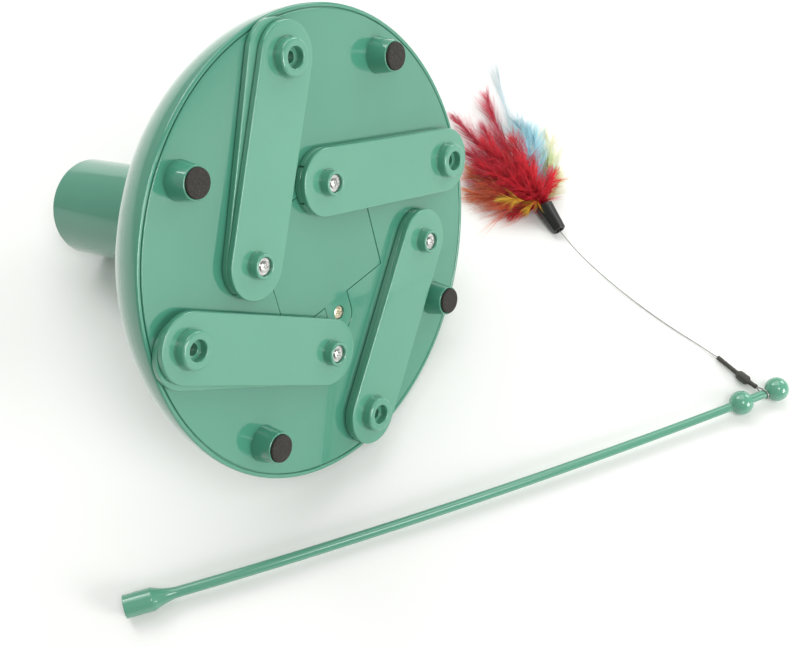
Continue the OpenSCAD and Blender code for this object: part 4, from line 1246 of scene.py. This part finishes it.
class Down:
    """Builds feathers as many fine barbs, each a tapering three-sided strand."""

    SEGMENTS = 6

    def __init__(self, offset: Array, rng: np.random.Generator) -> None:
        """Starts with no barbs.

        Args:
            offset: From the layout of the plumes' spines to the row.
            rng: The source of the barbs' chances.
        """
        self.offset = offset
        self.rng = rng
        self.rings: list[Array] = []
        self.colours: list[Array] = []

    def grow(self, plume: Plume) -> None:
        """Adds the barbs and the quill of one plume.

        A barb starts on the spine at a share u of its length, leaves at the lean angle in a
        direction about the spine, bends forward and droops. Its tip is drawn to its tuft's leader.

        Args:
            plume: The feather's spine, counts, sizes and colours.
        """
        rng, count = self.rng, plume.barbs
        line = smooth_line(plume.spine, 160) + self.offset
        along = unit(np.gradient(line, axis=0))
        u = np.sort(rng.uniform(0.03, 1, count))
        at = (u * 159).astype(int)
        t = along[at]
        side = unit(np.cross(t, (0, 0, 1.0)))
        above = np.cross(side, t)
        leader = (np.arange(count) // plume.tuft) * plume.tuft
        around = (rng.choice((0.0, math.pi), count) + rng.normal(0, 1.6 * plume.spread, count))[leader]
        around = around + rng.normal(0, 0.6 * plume.spread, count)
        lean = plume.lean * (1 - 0.5 * u) + rng.normal(0, plume.stray, count)[leader]
        lean = lean + rng.normal(0, 6, count)
        lean = np.radians(np.clip(lean, 4, 110))[:, None]
        out = np.cos(around)[:, None] * side + np.sin(around)[:, None] * above
        start = np.cos(lean) * t + np.sin(lean) * out
        shape = np.sin(np.pi * np.clip(u, 0, 1) ** plume.full) ** 0.6 * 0.75 + 0.25
        size = plume.length * shape * rng.uniform(0.7, 1.12, count)
        v = np.linspace(0, 1, self.SEGMENTS + 1)
        bend = rng.uniform(0.1, 0.5, count)[:, None, None] * t[:, None]
        droop = np.array((0, 0, -0.2)) + rng.normal(0, 0.02 * plume.stray, (count, 1, 3))[leader]
        droop = droop + rng.normal(0, 0.12, (count, 1, 3))
        way = v[None, :, None] * start[:, None] + 0.5 * v[None, :, None] ** 2 * (bend + droop)
        path = line[at][:, None] + size[:, None, None] * way
        ripple = np.sin(v[None, :] * rng.uniform(3, 8, count)[:, None] + rng.uniform(0, 6, count)[:, None])
        path += (0.03 * size[:, None] * ripple * v[None, :])[..., None] * np.cross(start, t)[:, None]
        pull = (rng.uniform(0.1, 0.5, count)[:, None] * v[None, :] ** 1.4)[..., None]
        path += pull * ((path[leader] - path) - (line[at][leader] - line[at])[:, None] * 0.25)
        path[..., 2] = np.maximum(path[..., 2], 0.35 + 0.25 * rng.random((count, 1)))
        self._strands(path, plume.width * (1 - 0.92 * v**1.3), self._tints(plume, u, v))
        quill = line[::8]
        self._strands(quill[None], np.linspace(plume.quill, 0.05, len(quill)),
                      np.broadcast_to(np.array(plume.colours[1]), (1, len(quill), 3)))

    def _tints(self, plume: Plume, u: Array, v: Array) -> Array:
        """Colours along each barb: root to middle to tip, lighter or darker by tuft.

        Args:
            plume: The feather.
            u: Each barb's share along the spine.
            v: Shares along a barb.

        Returns:
            Colours, as barbs by points by 3.
        """
        # Over each plume's own colours, the darker roots are painted shade inside the fluff and the lighter tips
        # painted light.
        root, middle, tip = (np.array(c) for c in plume.colours)
        w = 0.65 * v[None, :] + 0.35 * u[:, None] + self.rng.normal(0, 0.07, (len(u), 1))
        w = np.clip(w, 0, 1)[..., None]
        tint = np.where(w < 0.5, root + (middle - root) * w * 2, middle + (tip - middle) * (w * 2 - 1))
        shade = self.rng.uniform(0.72, 1.18, (len(u) // plume.tuft + 1))
        return np.clip(tint * shade[np.arange(len(u)) // plume.tuft][:, None, None], 0, 1)

    def _strands(self, path: Array, radius: Array, tint: Array) -> None:
        """Adds strands: three-sided rings about each path.

        Args:
            path: Strands by points by 3.
            radius: A radius for each point of a strand.
            tint: Strands by points by colour.
        """
        along = unit(np.gradient(path, axis=1) + 1e-9)
        side = unit(np.cross(along, np.array((0.3, -0.2, 1.0))))
        above = np.cross(side, along)
        a = np.arange(3) * TAU / 3
        out = np.cos(a)[:, None] * side[:, :, None] + 0.55 * np.sin(a)[:, None] * above[:, :, None]
        self.rings.append(path[:, :, None] + radius[None, :, None, None] * out)
        self.colours.append(np.repeat(tint[:, :, None], 3, 2))

    def build(self, name: str, slot: str, replaced: str) -> None:
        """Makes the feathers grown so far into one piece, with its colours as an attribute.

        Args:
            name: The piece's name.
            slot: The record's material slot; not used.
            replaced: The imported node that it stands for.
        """
        skin, tints = Skin(), []
        for rings, colours in zip(self.rings, self.colours):
            strands, points = rings.shape[:2]
            number = np.arange(strands * points * 3).reshape(strands, points, 3)
            low, high = number[:, :-1], number[:, 1:]
            quads = np.stack((low, np.roll(low, -1, 2), np.roll(high, -1, 2), high), -1).reshape(-1, 4)
            ends = np.concatenate((number[:, 0, ::-1], number[:, -1]))
            skin.add(rings.reshape(-1, 3), [quads, ends])
            tints.append(colours.reshape(-1, 3))
        made = piece(skin, name, DOWN, "lure", [replaced], sharp=None)
        values = np.concatenate(tints)
        layer = made.data.color_attributes.new("barb_colour", "FLOAT_COLOR", "POINT")
        values = np.column_stack((values, np.ones(len(values))))
        layer.data.foreach_set("color", values.astype(np.float32).ravel())


@dataclass
class Lure:
    """The lure: a wire loop on the wand's neck, a shrink sleeve, the wire, the cap and the feathers."""

    wand: Wand
    wire_r: float = 0.4
    line_r: float = 0.28
    sleeve_r: float = 1.15
    cap_r: float = 5.1
    cap_base_r: float = 3.75
    cap_tilt: float = 4.2
    cap_len: float = 16.4
    cap_heading: float = 118.7
    cap_flats: int = 6
    cap_flat_angle: float = 64.0
    cap_flat_depth: float = 0.35
    cap_end: tuple = ((0.8, 0.9, 0), (0.8, 1.6, 0.1), (1.7, 1.6, 0.2), (1.7, 0.4, 0.15), (2.2, 0.4, 0.1),
                      (2.2, 0.9, 0.1), (2.6, 0.9, 0.1), (2.6, 0.05, 0.2))
    cap_wall: float = 0.8
    cap_bore: float = 7.0
    loop_grip: float = 1.06
    loop_pair: float = 0.45
    loop_tail: float = 1.2
    crimp: tuple = (-3.4, 3.2)
    crimp_swell: float = 1.3
    crimp_steep: float = 3.2
    feather_root: tuple = (113.2, 77.4, 4.2)
    sleeve: tuple = ((216.6, -29.4, 4.9), (210.6, -23.5, 3.4), (199.4, -11.3, 1.8))
    route: tuple = (
        (199.4, -11.3, 1.8), (195, -7.6, 1.4), (189, -2.8, 1.1), (183, 1.8, 0.9), (176, 7.2, 0.8),
        (169.5, 12.5, 0.8), (163, 18.1, 0.9), (157, 23.4, 1.1), (151.5, 28.5, 1.3), (146, 33.8, 1.6),
        (141, 38.8, 2), (136.5, 43.5, 2.4), (132.5, 48, 2.8), (128.5, 52.9, 3.2), (125, 57.6, 3.6),
        (121.4, 62.8, 4))

    def build_wire(self) -> None:
        """The lure's wire as a curve through its route."""
        points = (np.array(self.route) + self.wand.offset) * MM
        data = bpy.data.curves.new("lure_wire_line", "CURVE")
        data.dimensions = "3D"
        data.bevel_depth = self.line_r * MM
        data.bevel_resolution = 3
        data.use_fill_caps = True
        spline = data.splines.new("NURBS")
        spline.points.add(len(points) - 1)
        spline.points.foreach_set("co", np.column_stack((points, np.ones(len(points)))).ravel())
        spline.use_endpoint_u = True
        spline.order_u = 3
        spline.resolution_u = 6
        data.materials.append(WIRE.material())
        wire = bpy.data.objects.new("lure_wire_line", data)
        bpy.context.scene.collection.objects.link(wire)
        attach(wire, "lure")
        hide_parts("lure_wire")

    def build_loop(self) -> None:
        """The loop: the wire leaves the sleeve, runs round the wand's neck and comes back beside itself."""
        wand = self.wand
        eye, start = wand.point(wand.loop_at), np.array(self.sleeve[0]) + wand.offset
        reach = np.linalg.norm(start - eye)
        toward = (start - eye) / reach
        over = unit(np.cross(wand.direction(wand.loop_at), toward))
        r = wand.rod_radius(wand.loop_at) * self.loop_grip + self.wire_r + 0.05
        open_angle = math.acos(min(0.95, r / reach))
        a = np.linspace(open_angle, TAU - open_angle, 40)
        ring = eye + r * (np.cos(a)[:, None] * toward + np.sin(a)[:, None] * over)
        gap, tail = self.loop_pair * over, self.loop_tail * toward
        there, back = [start + tail + gap, start + gap], [start - gap, start + tail - gap]
        path = np.concatenate((there, ring, back))
        skin = Skin()
        skin.sweep(smooth_line(path, 150), np.full(150, self.wire_r), 10, wand.direction(wand.loop_at))
        piece(skin, "lure_loop_wire", WIRE, "lure", ["lure_loop"], sharp=None)

    def build_sleeve(self) -> None:
        """The shrink sleeve: a tube whose radius swells by two soft steps over the wire's crimp."""
        start, crimp, end = (np.array(p) + self.wand.offset for p in self.sleeve)
        u = np.linspace(-1, 1, 90)
        line = np.where((u < 0)[:, None], crimp + np.abs(u)[:, None] * (start - crimp),
                        crimp + np.abs(u)[:, None] * (end - crimp))
        line = line + 0.12 * (np.exp(-(u * 6) ** 2))[:, None] * (start + end - 2 * crimp) / 4
        mm = np.where(u < 0, u * np.linalg.norm(start - crimp), u * np.linalg.norm(end - crimp))
        rise, fall = (1 / (1 + np.exp(-(mm - edge) * self.crimp_steep)) for edge in self.crimp)
        r = self.sleeve_r + self.crimp_swell * (rise - fall) + 0.04 * np.sin(mm * 2.3)
        skin = Skin()
        skin.sweep(line, r, 28)
        piece(skin, "lure_sleeve_tube", SHRINK, "lure", ["lure_sleeve"], sharp=50)

    def build_cap(self) -> None:
        """The feather cap: a tapering tube with soft flats, a recessed wire end and an open mouth.

        Round the axis, a wall's radius is the lesser of a circle's and a polygon's.
        """
        base = np.array(self.route[-1]) + self.wand.offset
        a0 = math.radians(self.cap_heading)
        rise = math.tan(math.radians(self.cap_tilt))
        place = stand(base, np.array((math.cos(a0), math.sin(a0), rise)))
        r, n = self.cap_r, self.cap_len
        bore, floor = r - self.cap_wall, n - self.cap_bore
        line = rounded([*self.cap_end, (self.cap_base_r, 0.05, 0.5), (r, n, 0.25), (bore, n, 0.2),
                        (bore, floor, 0.2), (0.05, floor, 0)], steps=4)
        a = np.arange(96) * TAU / 96
        part = TAU / self.cap_flats
        off = (a - math.radians(self.cap_flat_angle) + part / 2) % part - part / 2
        flat = np.minimum(1, (1 - self.cap_flat_depth / r) / np.cos(off))
        rr = line[:, :1] * np.where(line[:, :1] > self.cap_base_r - 0.75, flat, 1)
        skin = Skin()
        skin.grid(moved(place, np.stack((rr * np.cos(a), rr * np.sin(a), line[:, 1:] + 0 * a), -1)))
        piece(skin, "feather_cap", BLACK, "lure", ["lure_cap"])

    def build_feathers(self) -> None:
        """The feathers: red and crimson plumes over blue, green and orange ones."""
        root = self.feather_root
        # Each set runs root, middle, tip: the feathers' own colours, darker at the roots as painted shade and
        # lighter at the tips as painted light.
        red = (linear(172, 10, 32), linear(228, 22, 46), linear(240, 52, 70))
        crimson = (linear(160, 14, 40), linear(210, 36, 64), linear(240, 150, 168))
        blue = (linear(196, 230, 242), linear(226, 246, 251), linear(246, 251, 253))
        cyan = (linear(138, 212, 238), linear(176, 234, 248), linear(232, 248, 252))
        green = (linear(150, 200, 106), linear(196, 232, 150), linear(236, 246, 214))
        lemon = (linear(240, 232, 160), linear(250, 246, 196), linear(253, 251, 230))
        orange = (linear(206, 42, 38), linear(240, 106, 66), linear(250, 172, 112))
        gold = (linear(224, 150, 36), linear(242, 196, 50), linear(250, 218, 92))
        groups = {
            "red": [
                Plume((root, (108, 88, 11), (104, 100, 13), (100, 111, 12), (98, 117, 10)),
                      760, 14, red, 0.7, width=0.17),
                Plume((root, (104, 86, 12), (95, 97, 14), (87, 107, 13), (81, 114, 11)),
                      760, 15, red, 0.7, width=0.17),
                Plume((root, (115, 84, 9), (118, 91, 9), (119, 98, 8)), 520, 10, red, 0.7, width=0.16),
                Plume((root, (103, 83, 12), (93, 89, 14), (84, 95, 12), (78, 100, 9)),
                      760, 14, red, 0.7, width=0.17),
                Plume((root, (107, 80, 11), (101, 83, 13), (95, 87, 12)), 560, 11, red, 0.9, width=0.17),
                Plume((root, (107, 76, 6), (101, 74.5, 5), (95, 72, 3.5)), 300, 8, red),
                Plume((root, (109, 84, 13), (105, 92, 15), (101, 99, 16)), 640, 11, red, 0.9, width=0.17),
            ],
            "crimson": [
                Plume((root, (102, 97, 8), (94, 116, 7), (88, 134, 6), (85, 149, 5)),
                      420, 24, crimson, lean=18, stray=7),
                Plume((root, (97, 92, 9), (84, 108, 9), (74, 122, 8), (66, 133, 7)),
                      420, 21, crimson, lean=22, stray=7),
                Plume((root, (99, 95, 8), (89, 112, 8), (82, 127, 6)), 420, 22, crimson, lean=22, stray=7),
                Plume((root, (93, 92, 10), (82, 102, 9), (71, 111, 8)), 420, 20, crimson, lean=32, stray=9),
            ],
            "blue": [
                Plume((root, (107, 101, 6), (99, 124, 5), (94, 148, 3.6), (92, 172, 2.4)),
                      200, 38, blue, lean=13, width=0.09, stray=5, quill=0.16),
                Plume((root, (108, 102, 9), (105, 117, 9), (101, 130, 7)), 560, 21, cyan, lean=40, stray=10),
                Plume((root, (110, 101, 8), (110, 116, 8), (108, 127, 6)), 420, 17, cyan, lean=40, stray=10),
            ],
            "green": [
                Plume((root, (116, 92, 5), (117, 104, 5), (115, 114, 4)), 420, 16, green, lean=38, stray=9),
                Plume((root, (117, 96, 3.5), (119, 114, 2.6), (118, 127, 2)),
                      240, 20, lemon, lean=32, width=0.1, stray=9),
                Plume((root, (119, 86, 4), (121.5, 95, 3.4), (122, 101, 3)),
                      200, 10, lemon, lean=36, stray=9),
            ],
            "orange": [
                Plume((root, (98, 84, 7), (87, 91, 7), (76, 98, 6)), 520, 20, orange, lean=44),
                Plume((root, (97, 79, 5), (86, 83, 5), (75, 87, 4)), 520, 19, orange, lean=44),
                Plume((root, (98, 81, 6), (87, 87, 6), (77, 93, 5)), 320, 19, crimson, lean=44),
                Plume(((102, 76.5, 12), (97, 76.3, 14), (90, 76.5, 13)), 190, 9, gold, lean=30, tuft=5),
                Plume(((110.6, 80, 9), (107.5, 76.5, 9.4), (103.5, 73, 7.5)),
                      150, 8, gold, lean=36, tuft=5),
            ],
        }
        rng = np.random.default_rng(SEED)
        for colour, plumes in groups.items():
            down = Down(self.wand.offset, rng)
            for plume in plumes:
                down.grow(plume)
            slot = "feather_red" if colour == "crimson" else f"feather_{colour}"
            down.build(f"plumes_{colour}", slot, f"feather_{colour}")


@dataclass(frozen=True)
class Softbox:
    """A square soft light: its way from the set, its distance and size in metres, and its power."""

    name: str
    way: tuple
    distance: float
    size: float
    power: float


@dataclass
class Studio:
    """The camera at the photograph's place, a pale floor and five soft lights."""

    offset: Array
    camera: tuple = (35.32, -284.48, 608.8)
    pitch: float = 25.73
    lens: float = 57.97
    floor_half: float = 4.0
    sweep: tuple = (-0.74, 0.66, 0.12)
    ambient: tuple = (0.43, 0.64)
    floor_paint: tuple = (0.865, 0.865, 0.85, 1)
    world_colour: tuple = (0.955, 0.95, 0.93, 1)
    boxes: tuple = (
        Softbox("left_back", (-0.55, 0.52, 0.66), 1.8, 0.7, 8),
        Softbox("right_back", (0.70, 0.63, 0.34), 1.8, 0.7, 8),
        Softbox("over_back", (-0.05, 0.60, 0.80), 1.6, 1.4, 12),
        Softbox("over_front", (0.2, -0.35, 0.92), 1.6, 0.5, 6),
        Softbox("right_front", (0.84, -0.42, 0.34), 1.7, 0.7, 17))

    def build_camera(self) -> None:
        """The camera, with its lens on a 36 mm sensor."""
        data = bpy.data.cameras.new("camera")
        data.lens, data.sensor_width, data.sensor_fit = self.lens, 36.0, "HORIZONTAL"
        data.clip_start = 0.01
        made = bpy.data.objects.new("camera", data)
        made.location = tuple((np.array(self.camera) + (*self.offset[:2], 0)) * MM)
        made.rotation_euler = (math.radians(self.pitch), 0, 0)
        bpy.context.scene.collection.objects.link(made)
        bpy.context.scene.camera = made

    def build_floor(self) -> None:
        """A wide plain floor of pale paint."""
        data = bpy.data.meshes.new("floor")
        h = self.floor_half
        data.from_pydata([(-h, -h, 0), (h, -h, 0), (h, h, 0), (-h, h, 0)], [], [(0, 1, 2, 3)])
        floor = bpy.data.objects.new("floor", data)
        bpy.context.scene.collection.objects.link(floor)
        paint = bpy.data.materials.new("floor_paint")
        paint.use_nodes = True
        shader = paint.node_tree.nodes["Principled BSDF"]
        shader.inputs["Base Color"].default_value = self.floor_paint
        shader.inputs["Roughness"].default_value = 0.9
        shader.inputs["Specular IOR Level"].default_value = 0.1
        data.materials.append(paint)

    def build_lights(self) -> None:
        """Five softboxes round the set, and a pale world that is brighter to the left and back."""
        target = np.array((0, 0, 0.05))
        for box in self.boxes:
            data = bpy.data.lights.new(box.name, "AREA")
            data.shape, data.size, data.energy = "SQUARE", box.size, box.power
            lamp = bpy.data.objects.new(box.name, data)
            eye = target + box.distance * unit(np.array(box.way))
            lamp.matrix_world = Matrix(stand(eye, eye - target).tolist())
            bpy.context.scene.collection.objects.link(lamp)
        world = bpy.data.worlds.new("studio")
        world.use_nodes = True
        n = Nodes(world.node_tree)
        back = world.node_tree.nodes["Background"]
        back.inputs["Color"].default_value = self.world_colour
        toward = n.add("ShaderNodeVectorMath", operation="DOT_PRODUCT")
        toward.inputs[1].default_value = self.sweep
        n.link(n.add("ShaderNodeTexCoord").outputs["Generated"], toward.inputs[0])
        n.link(n.span(toward.outputs["Value"], 0.1, 0.95, *self.ambient), back.inputs["Strength"])
        bpy.context.scene.world = world


def dress_nodes() -> None:
    """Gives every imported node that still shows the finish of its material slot."""
    for row in frame["record"]["subparts"]:
        node = frame["nodes"][row["node"]]
        if node.hide_render:
            continue
        node.data.materials.clear()
        node.data.materials.append(SLOT_FINISH[row["material_slot"]].material())


def main() -> None:
    """Builds the pieces in order: camera and cord first, then base, legs, wand and lure."""
    logging.basicConfig(level=logging.INFO, format="%(name)s: %(message)s")
    wand = Wand()
    studio = Studio(wand.offset)
    studio.build_camera()
    lure = Lure(wand)
    lure.build_wire()
    lure.build_loop()
    lure.build_sleeve()
    lure.build_cap()
    lure.build_feathers()
    wand.build()
    base = BaseFrame()
    housing = Housing(base)
    housing.build_shell()
    housing.build_button()
    housing.build_rotor()
    plate = Plate(base)
    plate.build_plate()
    plate.build_pads()
    plate.build_door()
    plate.build_pins()
    legs = Legs(base)
    for k in LEGS:
        legs.build_inner(k)
        legs.build_outer(k)
        legs.build_screw(k)
    plate.build_door_screw()
    studio.build_floor()
    studio.build_lights()
    bpy.context.scene.view_settings.view_transform = "Standard"
    dress_nodes()


if __name__ == "__main__":
    main()
